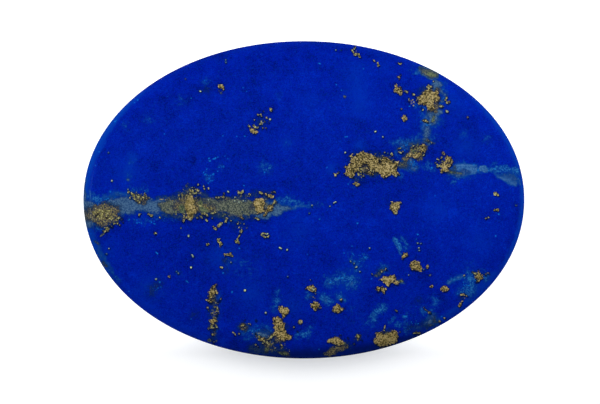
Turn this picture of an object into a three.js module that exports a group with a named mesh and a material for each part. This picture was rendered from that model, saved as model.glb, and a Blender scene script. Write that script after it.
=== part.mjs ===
// Oval lapis lazuli cabochon: a flat back with a small bevel, an upright girdle, a rounded shoulder of even width
// all the way round, and a low polished dome. It is one natural stone, so it is one mesh.
// Millimetres, +Z up. The origin is the centre of the flat back, which the stone rests on; X is the long axis.
import * as THREE from 'three';

// Driving dimensions
const LENGTH = 25;
const WIDTH = 18;
const THICKNESS = 4.4;
const DOME_RISE = 1.3;       // apex of the dome above the inner edge of the shoulder
const SHOULDER_WIDTH = 1.2;  // seen from above, from the girdle to where the dome starts
const SHOULDER_TILT = 52;    // degrees from level, where the shoulder meets the girdle's edge
const EDGE_RADIUS = 0.12;    // between the shoulder and the girdle
const BACK_BEVEL = 0.35;     // width and height of the 45 degree bevel round the back
const FULLNESS = 2.03;       // exponent of the oval outline: 2 is a true ellipse, more is fuller at the corners

// Fineness of the faceted surface
const SIDES = 120;
const DOME_ROWS = 16;
const ARC_STEPS = 3;

const HALF_LENGTH = LENGTH / 2;
const HALF_WIDTH = WIDTH / 2;
const radians = THREE.MathUtils.degToRad;

// The shoulder is an arc that starts at the dome's mean slope and ends at SHOULDER_TILT.
const EDGE_WIDTH = EDGE_RADIUS * (1 - Math.sin(radians(SHOULDER_TILT)));
const DOME_TILT = Math.atan(4 * DOME_RISE / (HALF_LENGTH + HALF_WIDTH));
const SHOULDER_RADIUS =
  (SHOULDER_WIDTH - EDGE_WIDTH) / (Math.sin(radians(SHOULDER_TILT)) - Math.sin(DOME_TILT));
const DOME_BASE = THICKNESS - DOME_RISE;

// The half section, drawn as if the stone were round and as long as its long axis: x is the distance from the
// middle and y the height, from the centre of the back out, up the side and in to the apex.
function halfSection() {
  const shoulderCentre = new THREE.Vector2(
    HALF_LENGTH - SHOULDER_WIDTH - SHOULDER_RADIUS * Math.sin(DOME_TILT),
    DOME_BASE - SHOULDER_RADIUS * Math.cos(DOME_TILT),
  );
  const tiltAngle = Math.PI / 2 - radians(SHOULDER_TILT);
  const edgeCentre = new THREE.Vector2(
    HALF_LENGTH - EDGE_RADIUS,
    shoulderCentre.y + (SHOULDER_RADIUS - EDGE_RADIUS) * Math.sin(tiltAngle),
  );
  const outline = new THREE.Path()
    .moveTo(0, 0)
    .lineTo(HALF_LENGTH - BACK_BEVEL, 0)
    .lineTo(HALF_LENGTH, BACK_BEVEL)
    .absarc(edgeCentre.x, edgeCentre.y, EDGE_RADIUS, 0, tiltAngle)
    .absarc(shoulderCentre.x, shoulderCentre.y, SHOULDER_RADIUS, tiltAngle, Math.PI / 2 - DOME_TILT);
  const dome = [];
  for (let row = 1; row <= DOME_ROWS; row += 1) {
    const share = 1 - row / DOME_ROWS;
    dome.push(new THREE.Vector2(
      share * (HALF_LENGTH - SHOULDER_WIDTH),
      DOME_BASE + DOME_RISE * (1 - share * share),
    ));
  }
  return [...outline.getPoints(ARC_STEPS), ...dome];
}

// A point of the oval outline at this angle, moved in square to the outline by an inset.
function ovalPoint(angle, inset) {
  const cosine = Math.cos(angle);
  const sine = Math.sin(angle);
  const power = (value, exponent) => Math.sign(value) * Math.abs(value) ** exponent;
  const point = new THREE.Vector2(
    HALF_LENGTH * power(cosine, 2 / FULLNESS),
    HALF_WIDTH * power(sine, 2 / FULLNESS),
  );
  const outward = new THREE.Vector2(
    power(cosine, 2 - 2 / FULLNESS) / HALF_LENGTH,
    power(sine, 2 - 2 / FULLNESS) / HALF_WIDTH,
  ).normalize();
  return point.addScaledVector(outward, -inset);
}

// Turns the round stone into the oval one. The rim keeps its width all round, and what lies inside it is scaled.
function makeOval(geometry) {
  const position = geometry.getAttribute('position');
  const inner = HALF_LENGTH - SHOULDER_WIDTH;
  for (let i = 0; i < position.count; i += 1) {
    const radius = Math.hypot(position.getX(i), position.getY(i));
    const angle = Math.atan2(position.getY(i), position.getX(i));
    const inset = Math.min(HALF_LENGTH - radius, SHOULDER_WIDTH);
    const plan = ovalPoint(angle, inset).multiplyScalar(Math.min(radius / inner, 1));
    position.setXY(i, plan.x, plan.y);
  }
}

function lapisCabochon() {
  const geometry = new THREE.LatheGeometry(halfSection(), SIDES);
  geometry.rotateX(Math.PI / 2); // the lathe turns about Y, and the stone stands along Z
  makeOval(geometry);
  geometry.computeVertexNormals();
  const polishedStone = new THREE.MeshStandardMaterial({ color: 0x011e9b, roughness: 0.15, metalness: 0 });
  const stone = new THREE.Mesh(geometry, polishedStone);
  stone.name = 'lapis_cabochon';
  return stone;
}

const part = new THREE.Group();
part.add(lapisCabochon());

export default part;
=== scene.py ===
import math

import bmesh
import bpy
import numpy as np
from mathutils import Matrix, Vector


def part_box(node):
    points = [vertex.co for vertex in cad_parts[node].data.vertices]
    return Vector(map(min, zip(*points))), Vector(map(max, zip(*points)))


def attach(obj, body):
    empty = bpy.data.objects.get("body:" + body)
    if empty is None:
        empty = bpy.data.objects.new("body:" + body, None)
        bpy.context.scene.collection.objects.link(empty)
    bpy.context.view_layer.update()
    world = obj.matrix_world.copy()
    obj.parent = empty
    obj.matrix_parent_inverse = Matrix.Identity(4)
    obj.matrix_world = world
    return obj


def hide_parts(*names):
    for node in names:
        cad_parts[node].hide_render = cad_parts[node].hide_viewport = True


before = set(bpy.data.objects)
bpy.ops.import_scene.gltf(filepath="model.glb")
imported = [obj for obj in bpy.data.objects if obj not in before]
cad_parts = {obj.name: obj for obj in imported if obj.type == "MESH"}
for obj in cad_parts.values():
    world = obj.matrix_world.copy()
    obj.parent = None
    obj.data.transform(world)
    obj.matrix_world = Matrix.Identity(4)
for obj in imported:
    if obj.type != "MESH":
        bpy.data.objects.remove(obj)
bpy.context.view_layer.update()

MM = 0.001                # metres
NODE = "lapis_cabochon"
LOW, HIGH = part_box(NODE)  # metres

# The cut, as in the CAD solid
HALF_LENGTH = (HIGH.x - LOW.x) / 2 / MM
HALF_WIDTH = (HIGH.y - LOW.y) / 2 / MM
THICKNESS = HIGH.z / MM
DOME_RISE = 1.3
SHOULDER_WIDTH = 1.2
SHOULDER_TILT = math.radians(52)    # the slope at the foot of the shoulder
EDGE_RADIUS = 0.12        # between the shoulder and the upright girdle
BACK_BEVEL = 0.35
FULLNESS = 2.03           # the exponent of the outline, which is 2 for an ellipse
EDGE_WIDTH = EDGE_RADIUS * (1 - math.sin(SHOULDER_TILT))
DOME_BASE = THICKNESS - DOME_RISE
DOME_HALF_LENGTH = HALF_LENGTH - SHOULDER_WIDTH

# The camera, which looks straight down
CAMERA_HEIGHT = 0.4       # metres
CAMERA_X = -0.22
CAMERA_Y = -0.126
SENSOR = 36.0
PIXELS_ACROSS = 600
PIXELS_PER_MM = 17.64     # at the top of the girdle, where the outline is
OUTLINE_HEIGHT = 2.3

# The marks were read off the picture with a scale and a centre slightly different from the camera's
MARK_SCALE = 1.0023
MARK_SHIFT_X = 0.037
MARK_SHIFT_Y = -0.027

LIGHT_LEVEL = 1.1         # light on level ground, as a share of what makes a white surface full white


def seen(red, green, blue):
    """The colour of a surface that looks like this sRGB colour under the scene's light."""
    def linear(value):
        share = value / 255
        curve = share / 12.92 if share < 0.04045 else ((share + 0.055) / 1.055) ** 2.4
        return curve / LIGHT_LEVEL
    return linear(red), linear(green), linear(blue), 1.0


# ----------------------------------------------------------------------------------------------------------
# Marks: where each mineral shows on the polished face
# ----------------------------------------------------------------------------------------------------------

# Larger patches of pyrite. Each is an outline of x, y in millimetres.
CHUNKS = [
    # large cluster right of the middle
    (2.35, 1.9, 2.45, 1.75, 2.42, 1.55, 2.3, 1.42, 2.5, 1.35, 2.65, 1.22, 2.85, 1.22, 2.9, 1.4, 2.95, 1.55,
     3.05, 1.6, 3.15, 1.72, 3.25, 1.85, 3.4, 1.9, 3.5, 2.0, 3.6, 1.95, 3.7, 1.85, 3.85, 1.7, 4.1, 1.6,
     4.25, 1.55, 4.4, 1.4, 4.6, 1.18, 4.7, 1.25, 4.85, 1.3, 5.0, 1.45, 5.1, 1.4, 5.2, 1.28, 5.3, 1.35,
     5.47, 1.42, 5.35, 1.52, 5.3, 1.6, 5.35, 1.9, 5.42, 2.05, 5.48, 2.2, 5.3, 2.15, 5.12, 2.12, 5.05, 2.05,
     4.95, 2.2, 4.8, 2.35, 4.65, 2.42, 4.45, 2.3, 4.3, 2.12, 4.25, 2.3, 4.1, 2.42, 3.95, 2.5, 3.7, 2.65,
     3.5, 2.68, 3.4, 2.8, 3.25, 2.68, 3.05, 2.55, 2.85, 2.35, 2.75, 2.3, 2.7, 2.1, 2.55, 1.95),
    (2.6, 2.45, 2.7, 2.38, 2.8, 2.4, 2.78, 2.58, 2.7, 2.55),
    (3.5, 1.5, 3.65, 1.55, 3.8, 1.45, 3.95, 1.36, 3.9, 1.52, 3.75, 1.6, 3.6, 1.58),
    (3.58, 1.7, 3.68, 1.72, 3.72, 1.85, 3.6, 1.82),
    (2.83, .88, 2.95, .95, 3.05, 1.0, 3.14, .92, 3.2, .9, 3.24, .82, 3.15, .78, 3.05, .74, 2.97, .82),
    # by the upper right rim
    (6.53, 5.85, 6.62, 5.88, 6.75, 5.97, 6.8, 6.07, 6.95, 6.2, 7.1, 6.2, 7.25, 6.25, 7.35, 6.1, 7.5, 6.1,
     7.58, 6.2, 7.7, 6.0, 7.73, 5.75, 7.68, 5.55, 7.58, 5.5, 7.45, 5.6, 7.4, 5.48, 7.45, 5.33, 7.5, 5.18,
     7.35, 5.05, 7.2, 5.08, 7.1, 5.0, 7.05, 5.2, 6.95, 5.38, 6.85, 5.33, 6.75, 5.36, 6.65, 5.42, 6.55, 5.36,
     6.6, 5.48, 6.57, 5.65, 6.5, 5.75),
    (5.25, 6.58, 5.33, 6.5, 5.36, 6.36, 5.42, 6.3, 5.5, 6.4, 5.56, 6.34, 5.52, 6.2, 5.64, 6.1, 5.6, 5.97,
     5.5, 5.93, 5.42, 5.98, 5.35, 6.02, 5.28, 6.08, 5.13, 6.13, 5.18, 6.25, 5.2, 6.38),
    (5.35, 7.0, 5.47, 7.04, 5.52, 6.93, 5.44, 6.86, 5.36, 6.92),
    # between the two
    (6.2, 2.4, 6.3, 2.33, 6.52, 2.34, 6.6, 2.42, 6.75, 2.5, 6.7, 2.62, 6.55, 2.66, 6.4, 2.6, 6.22, 2.55),
    (6.6, 2.7, 6.75, 2.66, 6.9, 2.64, 6.92, 2.85, 6.96, 3.05, 6.8, 3.18, 6.66, 3.12, 6.62, 2.95, 6.7, 2.85),
    (5.85, 2.4, 5.95, 2.45, 6.08, 2.4, 6.1, 2.6, 6.0, 2.7, 5.9, 2.6),
    # left of the pale lens
    (8.12, 2.5, 8.2, 2.53, 8.27, 2.4, 8.4, 2.38, 8.47, 2.2, 8.45, 2.1, 8.35, 2.06, 8.2, 2.1, 8.12, 2.15,
     8.13, 2.3),
    (8.05, 2.1, 8.15, 2.02, 8.38, 2.03, 8.42, 1.95, 8.3, 1.85, 8.25, 1.75, 8.22, 1.6, 8.1, 1.55, 8.0, 1.57,
     7.85, 1.48, 7.76, 1.55, 7.8, 1.65, 7.88, 1.75, 7.83, 1.85, 7.87, 2.0, 7.98, 2.05),
    (7.88, 2.67, 7.98, 2.7, 8.05, 2.6, 7.98, 2.53, 7.87, 2.58),
    # right of the middle
    (4.95, -.1, 5.05, -.13, 5.2, -.18, 5.35, -.2, 5.55, -.15, 5.6, -.2, 5.48, -.3, 5.48, -.5, 5.38, -.56,
     5.35, -.78, 5.25, -.84, 5.08, -.75, 5.02, -.6, 4.9, -.5, 4.87, -.38, 4.97, -.28),
    # bright column across the band, and the blob at its right end
    (-6.52, .22, -6.36, .28, -6.28, .18, -6.25, .05, -6.17, -.1, -6.22, -.3, -6.1, -.45, -5.97, -.5,
     -5.98, -.68, -6.1, -.74, -6.24, -.85, -6.28, -1.0, -6.34, -1.16, -6.45, -1.2, -6.55, -1.1, -6.52, -.98,
     -6.6, -.88, -6.6, -.72, -6.7, -.5, -6.74, -.3, -6.68, -.1, -6.6, .02),
    (-2.75, .02, -2.6, .08, -2.45, .08, -2.3, .05, -2.22, -.05, -2.16, -.25, -2.2, -.4, -2.22, -.55,
     -2.16, -.68, -2.3, -.75, -2.45, -.78, -2.65, -.82, -2.7, -.65, -2.68, -.5, -2.78, -.42, -2.83, -.3,
     -2.8, -.1),
    (-2.05, -.38, -1.9, -.3, -1.74, -.33, -1.7, -.48, -1.78, -.62, -1.92, -.7, -2.05, -.74, -2.08, -.9,
     -2.2, -.97, -2.3, -.88, -2.2, -.8, -2.12, -.68, -2.14, -.58, -2.02, -.52),
    (-2.2, .32, -2.12, .33, -1.9, .27, -1.68, .23, -1.68, .1, -1.8, .07, -1.95, .13, -2.1, .22),
    (-3.65, -.92, -3.52, -.88, -3.43, -1.1, -3.5, -1.16, -3.57, -1.02),
    # heart and the column under it
    (-1.43, -6.25, -1.38, -6.12, -1.28, -6.07, -1.18, -6.1, -1.08, -6.14, -1.0, -6.11, -.85, -6.2,
     -.8, -6.33, -.86, -6.48, -1.0, -6.58, -1.12, -6.65, -1.2, -6.57, -1.23, -6.46, -1.35, -6.38),
    (-1.7, -6.72, -1.6, -6.68, -1.45, -6.64, -1.35, -6.7, -1.25, -6.8, -1.15, -6.7, -1.13, -6.82,
     -1.2, -6.95, -1.16, -7.05, -1.05, -7.07, -1.1, -7.2, -1.02, -7.35, -1.0, -7.5, -.9, -7.62, -.8, -7.7,
     -.65, -7.74, -.72, -7.84, -.7, -7.95, -.85, -7.92, -.98, -8.0, -1.1, -8.08, -1.2, -8.0, -1.35, -7.95,
     -1.45, -7.88, -1.5, -7.75, -1.76, -7.73, -1.68, -7.6, -1.6, -7.5, -1.5, -7.44, -1.6, -7.38, -1.7, -7.3,
     -1.6, -7.2, -1.64, -7.1, -1.58, -7.05, -1.72, -7.0, -1.62, -6.93, -1.74, -6.85),
    # chains of grains, lower left
    (-4.9, -4.83, -4.95, -4.95, -5.1, -5.05, -5.12, -5.2, -4.95, -5.2, -4.87, -5.18, -4.9, -5.3,
     -4.83, -5.4, -4.97, -5.37, -5.1, -5.35, -5.18, -5.45, -5.2, -5.6, -5.24, -5.75, -5.17, -5.75,
     -5.2, -5.9, -5.32, -5.9, -5.42, -5.82, -5.52, -5.7, -5.4, -5.72, -5.33, -5.65, -5.38, -5.5,
     -5.33, -5.4, -5.45, -5.27, -5.3, -5.25, -5.28, -5.1, -5.2, -4.97, -5.1, -4.87),
    (-5.37, -6.9, -5.2, -6.86, -5.05, -6.8, -4.98, -6.72, -4.9, -6.86, -4.9, -6.95, -5.0, -7.0, -5.1, -7.1,
     -5.15, -7.0, -5.25, -6.97),
    # lower right
    (.24, -4.94, .43, -4.88, .54, -4.91, .6, -5.02, .71, -4.99, .73, -5.08, .68, -5.21, .58, -5.26,
     .41, -5.18, .24, -5.07, .11, -5.11, .17, -5.02),
    (.36, -5.92, .48, -6.0, .43, -6.1, .54, -6.15, .65, -6.32, .75, -6.25, .84, -6.18, .98, -6.2, .88, -6.1,
     1.0, -6.06, .9, -6.02, .95, -5.97, .82, -5.95, .86, -5.83, .73, -5.9, .65, -5.81, .6, -5.93,
     .5, -5.93),
    (1.93, -5.95, 2.08, -6.05, 2.12, -6.16, 2.2, -6.2, 2.33, -6.2, 2.23, -6.32, 2.08, -6.42, 1.93, -6.46,
     1.76, -6.4, 1.65, -6.32, 1.74, -6.15, 1.81, -6.02),
    (4.32, -4.56, 4.49, -4.48, 4.61, -4.38, 4.81, -4.4, 4.92, -4.34, 5.16, -4.29, 5.25, -4.44, 5.23, -4.6,
     5.15, -4.69, 4.98, -4.79, 4.91, -4.94, 4.79, -4.91, 4.66, -4.76, 4.54, -4.74, 4.52, -4.6),
    (5.13, -4.72, 5.25, -4.68, 5.4, -4.68, 5.42, -4.77, 5.3, -4.85, 5.18, -4.81),
    (4.15, -5.02, 4.27, -4.96, 4.42, -4.98, 4.59, -5.01, 4.73, -5.12, 4.61, -5.22, 4.56, -5.35, 4.5, -5.23,
     4.37, -5.2, 4.25, -5.24, 4.17, -5.15),
    (5.7, -3.05, 5.88, -3.05, 5.96, -3.19, 5.82, -3.26, 5.7, -3.4, 5.59, -3.33, 5.62, -3.19),
    (6.03, -3.74, 6.13, -3.58, 6.25, -3.52, 6.43, -3.51, 6.47, -3.58, 6.59, -3.55, 6.61, -3.67, 6.69, -3.78,
     6.75, -3.92, 6.72, -4.08, 6.52, -4.03, 6.25, -4.01, 6.11, -3.96, 6.06, -3.83),
    (7.0, -3.92, 7.02, -3.78, 7.1, -3.7, 7.15, -3.8, 7.06, -3.95),
    (7.17, -4.93, 7.25, -4.86, 7.35, -4.86, 7.37, -4.93, 7.25, -5.01),
    (7.81, -5.08, 7.9, -4.96, 8.06, -4.92, 8.22, -4.99, 8.25, -5.12, 8.11, -5.24, 7.95, -5.24, 7.84, -5.17),
    (9.94, -3.98, 10.0, -4.19, 10.1, -4.28, 10.2, -4.24, 10.12, -4.38, 10.22, -4.46, 10.07, -4.52,
     9.98, -4.69, 9.8, -4.73, 9.87, -4.52, 9.8, -4.46, 9.89, -4.33, 9.93, -4.19),
    (9.05, -5.74, 9.09, -5.8, 9.02, -5.92, 8.91, -6.12, 8.84, -6.08, 8.74, -6.03, 8.84, -5.99, 8.91, -5.85),
    (8.93, -5.4, 9.0, -5.32, 9.1, -5.35, 9.13, -5.42, 9.02, -5.44),
    # by the lower rim
    (3.93, -8.01, 4.1, -7.9, 4.18, -7.77, 4.08, -7.66, 4.18, -7.57, 4.32, -7.62, 4.45, -7.52, 4.48, -7.66,
     4.62, -7.7, 4.76, -7.62, 4.99, -7.58, 5.06, -7.47, 5.2, -7.47, 5.33, -7.57, 5.36, -7.7, 5.47, -7.82,
     5.34, -7.88, 5.33, -8.06, 5.16, -8.16, 4.91, -8.24, 4.57, -8.32, 4.22, -8.29, 4.05, -8.17),
    (1.37, -8.13, 1.44, -7.99, 1.57, -7.89, 1.76, -7.85, 2.03, -7.87, 2.11, -7.95, 2.26, -8.08, 2.3, -8.18,
     2.16, -8.26, 1.99, -8.28, 1.81, -8.23, 1.62, -8.17),
    # upper left
    (-4.85, 6.42, -4.8, 6.5, -4.6, 6.5, -4.51, 6.4, -4.5, 6.24, -4.59, 6.18, -4.64, 6.3, -4.7, 6.38,
     -4.77, 6.32),
    (-3.08, 3.97, -3.02, 4.04, -2.88, 4.05, -2.8, 3.97, -2.68, 3.93, -2.58, 3.85, -2.66, 3.72, -2.82, 3.7,
     -2.91, 3.79, -3.02, 3.86),
]

# Grains of pyrite. From here on a mark is a stroke: x, y, width, and the same again for each further point.
PYRITE = [
    # large cluster right of the middle
    (2.4, 1.88, .1), (3.85, 1.62, .1), (3.38, 1.35, .09), (3.2, 1.62, .12, 3.32, 1.55, .07),
    (3.1, 1.68, .07), (1.83, 1.4, .13), (1.76, 1.45, .06), (1.99, 1.52, .07), (5.13, 2.24, .11),
    (5.02, 2.62, .05, 5.02, 2.5, .05), (3.42, 1.33, .06), (4.1, 2.57, .05), (4.35, 2.6, .05),
    (4.6, 2.66, .05), (3.75, 2.72, .05), (3.6, 1.64, .06),
    # by the upper right rim
    (7.05, 6.4, .08, 7.13, 6.5, .09), (7.12, 6.28, .1, 7.27, 6.44, .1), (8.08, 5.66, .08, 8.15, 5.82, .08),
    (8.2, 5.49, .11, 8.3, 5.56, .1), (8.1, 5.0, .09, 8.2, 4.95, .1), (6.22, 6.03, .06, 6.32, 5.94, .07),
    (5.78, 6.13, .06, 5.95, 6.07, .07), (6.42, 5.8, .06), (5.98, 5.73, .06, 6.0, 5.6, .06), (6.8, 5.1, .06),
    (5.57, 5.14, .06), (5.53, 7.09, .04), (5.75, 4.6, .27), (9.37, 4.65, .11), (6.92, 4.46, .13),
    (7.07, 4.38, .08), (6.45, 5.6, .05), (6.7, 5.2, .05), (7.42, 6.72, .06),
    (7.75, 5.3, .07, 7.92, 5.26, .07),
    # between the two, and left of the pale lens
    (6.15, 2.95, .08), (6.35, 2.85, .1), (6.3, 3.05, .06), (5.4, 2.88, .05, 5.52, 2.9, .04),
    (5.45, 2.7, .06, 5.6, 2.66, .05), (5.68, 2.72, .05), (6.45, 3.02, .08), (6.5, 2.8, .08), (7.1, 3.3, .1),
    (7.3, 3.2, .07), (6.85, 2.5, .06), (7.6, 1.98, .08, 7.8, 1.86, .1), (7.5, 2.08, .05, 7.56, 2.0, .05),
    (7.62, 2.3, .07, 7.7, 2.25, .08), (7.62, 1.83, .06), (7.85, 2.38, .07), (7.95, 2.2, .05),
    # round the left cluster
    (-9.97, .38, .07, -9.87, .44, .08), (-9.7, .32, .09, -9.58, .2, .09), (-9.57, .05, .09),
    (-9.82, .07, .06), (-9.38, .1, .08, -9.33, .22, .07), (-9.0, .32, .09, -9.06, .03, .11),
    (-9.2, .08, .08, -9.27, -.1, .12), (-9.45, -.05, .09), (-8.8, .1, .07),
    (-9.33, -.94, .07, -9.25, -.84, .07), (-8.77, -.86, .1, -8.62, -.92, .11), (-8.15, -1.02, .06),
    (-10.42, -1.48, .11), (-10.6, -1.33, .07, -10.5, -1.38, .07), (-10.78, -1.38, .09),
    (-10.95, -1.52, .06), (-10.85, -1.57, .05), (-10.25, -1.3, .05),
    (-11.2, -1.75, .09, -11.12, -1.63, .1, -11.08, -1.75, .08), (-11.35, -1.8, .09, -11.25, -1.84, .09),
    (-10.6, -1.1, .07, -10.42, -1.04, .08), (-10.3, -1.12, .05),
    # round the bright column
    (-6.75, -.88, .1, -6.66, -1.04, .12), (-6.82, -1.22, .12, -6.8, -1.14, .08),
    (-6.36, .5, .12, -6.27, .46, .12), (-6.2, .68, .09), (-5.98, .53, .13),
    (-6.2, .35, .07, -6.05, .36, .07), (-6.43, .34, .08), (-5.95, .13, .07), (-5.66, .77, .07),
    (-5.62, .62, .06), (-5.4, .62, .07), (-5.98, .85, .05), (-6.6, .22, .1), (-6.88, .22, .09),
    (-6.02, -1.02, .08), (-5.83, -.95, .06, -5.74, -1.05, .06), (-5.56, -1.1, .05, -5.46, -1.22, .08),
    (-5.18, -1.1, .06), (-6.75, .1, .08), (-6.1, .1, .08), (-5.9, -.1, .1), (-5.85, -.35, .1),
    (-7.0, .05, .06),
    # along the edges of the band
    (-5.8, -.8, .07, -5.58, -.82, .1, -5.42, -.95, .1), (-5.2, -.78, .06, -5.0, -.74, .06),
    (-4.5, .32, .07), (-4.55, .14, .1), (-4.78, .12, .07), (-4.95, .12, .05),
    (-3.68, .42, .07, -3.6, .34, .08, -3.48, .36, .07, -3.4, .5, .06), (-3.06, .3, .1),
    (-2.46, .4, .08, -2.33, .34, .09), (-1.72, .44, .06), (-1.62, .42, .07), (-1.82, .42, .04),
    (-1.62, -.02, .08, -1.57, -.15, .1, -1.72, -.3, .1), (-2.68, -1.08, .08, -2.56, -1.12, .09),
    (-4.42, -1.27, .06, -4.33, -1.1, .1), (-4.8, -1.5, .12), (-4.73, -1.42, .08, -4.65, -1.33, .06),
    (-5.09, -1.55, .06, -4.97, -1.65, .1), (-4.08, -1.2, .06), (-3.5, -1.76, .07), (-3.75, -1.4, .06),
    (-3.38, -1.4, .05),
    # below the band
    (-3.5, -1.8, .03, -3.62, -2.0, .03, -3.72, -2.28, .06), (-3.88, -2.37, .09, -3.74, -2.4, .1),
    (-3.72, -2.3, .07, -3.65, -2.5, .05), (-5.41, -2.56, .11),
    (-4.78, -2.28, .11, -4.82, -2.42, .1, -4.66, -2.5, .11, -4.7, -2.64, .08), (-4.44, -3.16, .14),
    (-4.3, -3.12, .07, -4.15, -3.12, .16), (-4.06, -3.2, .1), (-8.43, -1.95, .11),
    (-7.61, -4.35, .12, -7.6, -4.4, .1), (-4.65, -3.87, .08),
    (-2.34, -1.95, .04, -2.36, -2.04, .04, -2.26, -2.13, .04, -2.05, -2.14, .04, -1.94, -2.05, .04),
    (-2.28, -1.92, .04, -2.12, -1.98, .03), (-2.2, -2.04, .03), (-.22, -6.99, .12, -.12, -6.96, .15),
    (-.55, -7.2, .07, -.5, -7.25, .04), (-.33, -7.5, .05), (-1.3, -8.22, .05), (-1.2, -8.3, .06),
    (-1.65, -8.1, .04),
    # dusty grains left of the column
    (-2.5, -8.0, .1, -2.25, -7.95, .16), (-2.2, -8.05, .1), (-2.69, -8.25, .08), (-2.56, -8.38, .05),
    (-2.68, -7.6, .04, -2.66, -7.72, .04), (-2.0, -8.0, .03, -1.8, -7.75, .04), (-2.4, -7.8, .04),
    (-2.1, -8.25, .04), (-2.66, -6.9, .05), (-1.9, -7.95, .03, -1.65, -7.7, .04),
    (-2.3, -8.2, .03, -2.15, -8.1, .04),
    # chains, lower left
    (-4.65, -5.6, .02, -4.83, -5.85, .03), (-4.85, -5.9, .07), (-5.05, -5.68, .02), (-5.43, -6.13, .1),
    (-5.36, -6.3, .03), (-4.87, -6.2, .09), (-5.0, -6.08, .03), (-5.21, -6.47, .05),
    (-4.84, -6.43, .03, -4.97, -6.53, .02), (-4.91, -6.62, .02), (-5.37, -7.33, .09),
    (-5.18, -7.18, .04, -5.15, -7.32, .05), (-4.98, -7.12, .06, -4.93, -7.2, .06), (-5.02, -7.34, .09),
    (-4.88, -7.28, .04), (-5.26, -7.6, .04, -5.13, -7.68, .06, -5.05, -7.6, .03), (-5.1, -8.1, .07),
    (-3.43, -7.18, .13), (-3.35, -7.08, .07), (-3.52, -7.2, .05), (-3.33, -6.87, .06),
    (-3.1, -7.05, .02, -3.0, -7.1, .03), (-3.98, -7.55, .05, -3.86, -7.72, .07),
    (-3.66, -7.6, .07, -3.72, -7.65, .03),
    # lower right
    (.42, -4.62, .05), (.68, -5.36, .06), (2.13, -5.71, .1), (4.74, -3.98, .1), (4.66, -3.9, .04),
    (3.9, -4.25, .06), (9.68, -4.17, .07, 9.8, -4.22, .08), (10.37, -4.26, .06), (10.5, -4.2, .08),
    (9.16, -4.33, .08), (9.2, -5.4, .05, 9.33, -5.52, .03), (6.88, -6.17, .06),
    (6.92, -6.2, .02, 7.1, -6.38, .02), (7.12, -6.4, .08, 7.22, -6.43, .08), (8.02, -6.76, .06),
    (7.73, -6.96, .07), (5.28, -6.33, .08), (5.23, -6.3, .05),
    # by the lower rim
    (4.67, -7.2, .05, 4.58, -7.5, .03), (5.5, -7.53, .06), (3.05, -7.74, .05, 3.15, -7.82, .1),
    (3.25, -7.72, .05), (3.31, -8.0, .05), (3.12, -7.68, .04), (2.13, -7.73, .04), (2.33, -7.95, .05),
    (2.53, -7.86, .04), (2.89, -8.19, .08), (6.25, -7.6, .05, 6.58, -7.62, .08),
    # upper left and top
    (-1.84, 5.16, .09, -1.83, 5.08, .1), (-2.8, 4.22, .08, -2.7, 4.1, .07, -2.55, 4.08, .08),
    (-3.02, 4.15, .07, -3.1, 4.2, .05), (-2.59, 4.8, .06), (-2.44, 4.78, .08, -2.36, 4.72, .04),
    (-2.07, 4.65, .07), (-2.2, 4.42, .06), (-1.98, 4.38, .06), (-2.42, 4.28, .08), (-2.76, 4.5, .05),
    (-2.32, 4.04, .05), (-2.13, 4.05, .05), (-2.27, 4.97, .04), (2.88, 8.52, .06, 2.96, 8.62, .07),
    (2.78, 8.46, .05, 2.88, 8.35, .06), (2.96, 8.24, .11, 3.12, 8.25, .11),
    (3.2, 8.12, .08, 3.25, 8.08, .07), (4.0, 7.88, .1), (4.22, 7.78, .06, 4.3, 7.62, .09),
    (5.42, 7.75, .05, 5.54, 7.7, .07),
    # by the right rim
    (10.88, .34, .1, 11.04, .24, .12), (10.87, -.61, .1, 11.04, -.58, .12), (10.53, -1.02, .06),
    (10.37, -1.08, .08),
]

# Small bright grains, paler than the rest: a painted glint on real grains
GLINTS = [
    (2.38, 2.65, .1), (4.79, 2.6, .05), (-5.86, 6.15, .06, -5.8, 6.13, .05), (-1.87, 4.54, .1),
    (4.07, 3.84, .1), (4.52, 3.56, .09), (-6.52, -2.1, .1), (-6.37, -3.87, .1), (-4.41, 7.95, .05),
    (-4.4, 7.8, .07), (1.83, 8.48, .06), (2.12, 8.49, .05), (-.9, -2.86, .09),
    (-1.37, -2.73, .05, -1.25, -2.81, .05), (-6.35, -3.18, .05, -6.27, -3.28, .06), (-4.08, -3.58, .08),
    (-3.65, -.17, .09), (-3.9, -.09, .07), (-3.9, .12, .07), (-3.4, -.09, .06), (-3.27, -.08, .06),
    (-5.37, -.05, .07), (-4.27, .46, .09), (.35, -.79, .06), (.51, -.35, .06), (3.78, -2.78, .08),
    (6.52, -2.46, .07), (6.7, -2.47, .05), (6.57, -2.76, .06), (6.6, -2.9, .07), (2.69, -3.53, .08),
    (2.87, -3.65, .06), (2.97, -3.87, .03, 3.05, -3.83, .06), (3.24, -4.12, .06), (6.02, -4.3, .07),
    (-2.07, -1.98, .08), (-8.37, -4.54, .08), (-7.2, -4.1, .05), (-7.1, -4.2, .05), (-11.05, 2.65, .08),
    (-10.89, 1.06, .09), (-9.95, .57, .05), (1.72, -.2, .04, 1.85, -.15, .05), (1.5, -.37, .06),
    (-2.14, -6.46, .08), (3.08, .88, .09), (-11.02, -2.78, .07), (-11.2, -3.1, .07), (5.98, 2.58, .08),
    (-.9, -4.4, .05), (8.15, 4.98, .08), (7.7, 1.92, .06), (6.86, -3.98, .05),
    (.54, -5.05, .08, .6, -5.13, .08), (9.93, -4.58, .07), (5.25, 1.33, .06), (-6.45, -1.13, .07),
    (12.06, -.33, .05), (-.17, -6.98, .08), (-3.32, -5.15, .16), (5.28, -.78, .09), (-6.43, -1.12, .1),
    (1.8, -6.4, .05),
]

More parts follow.
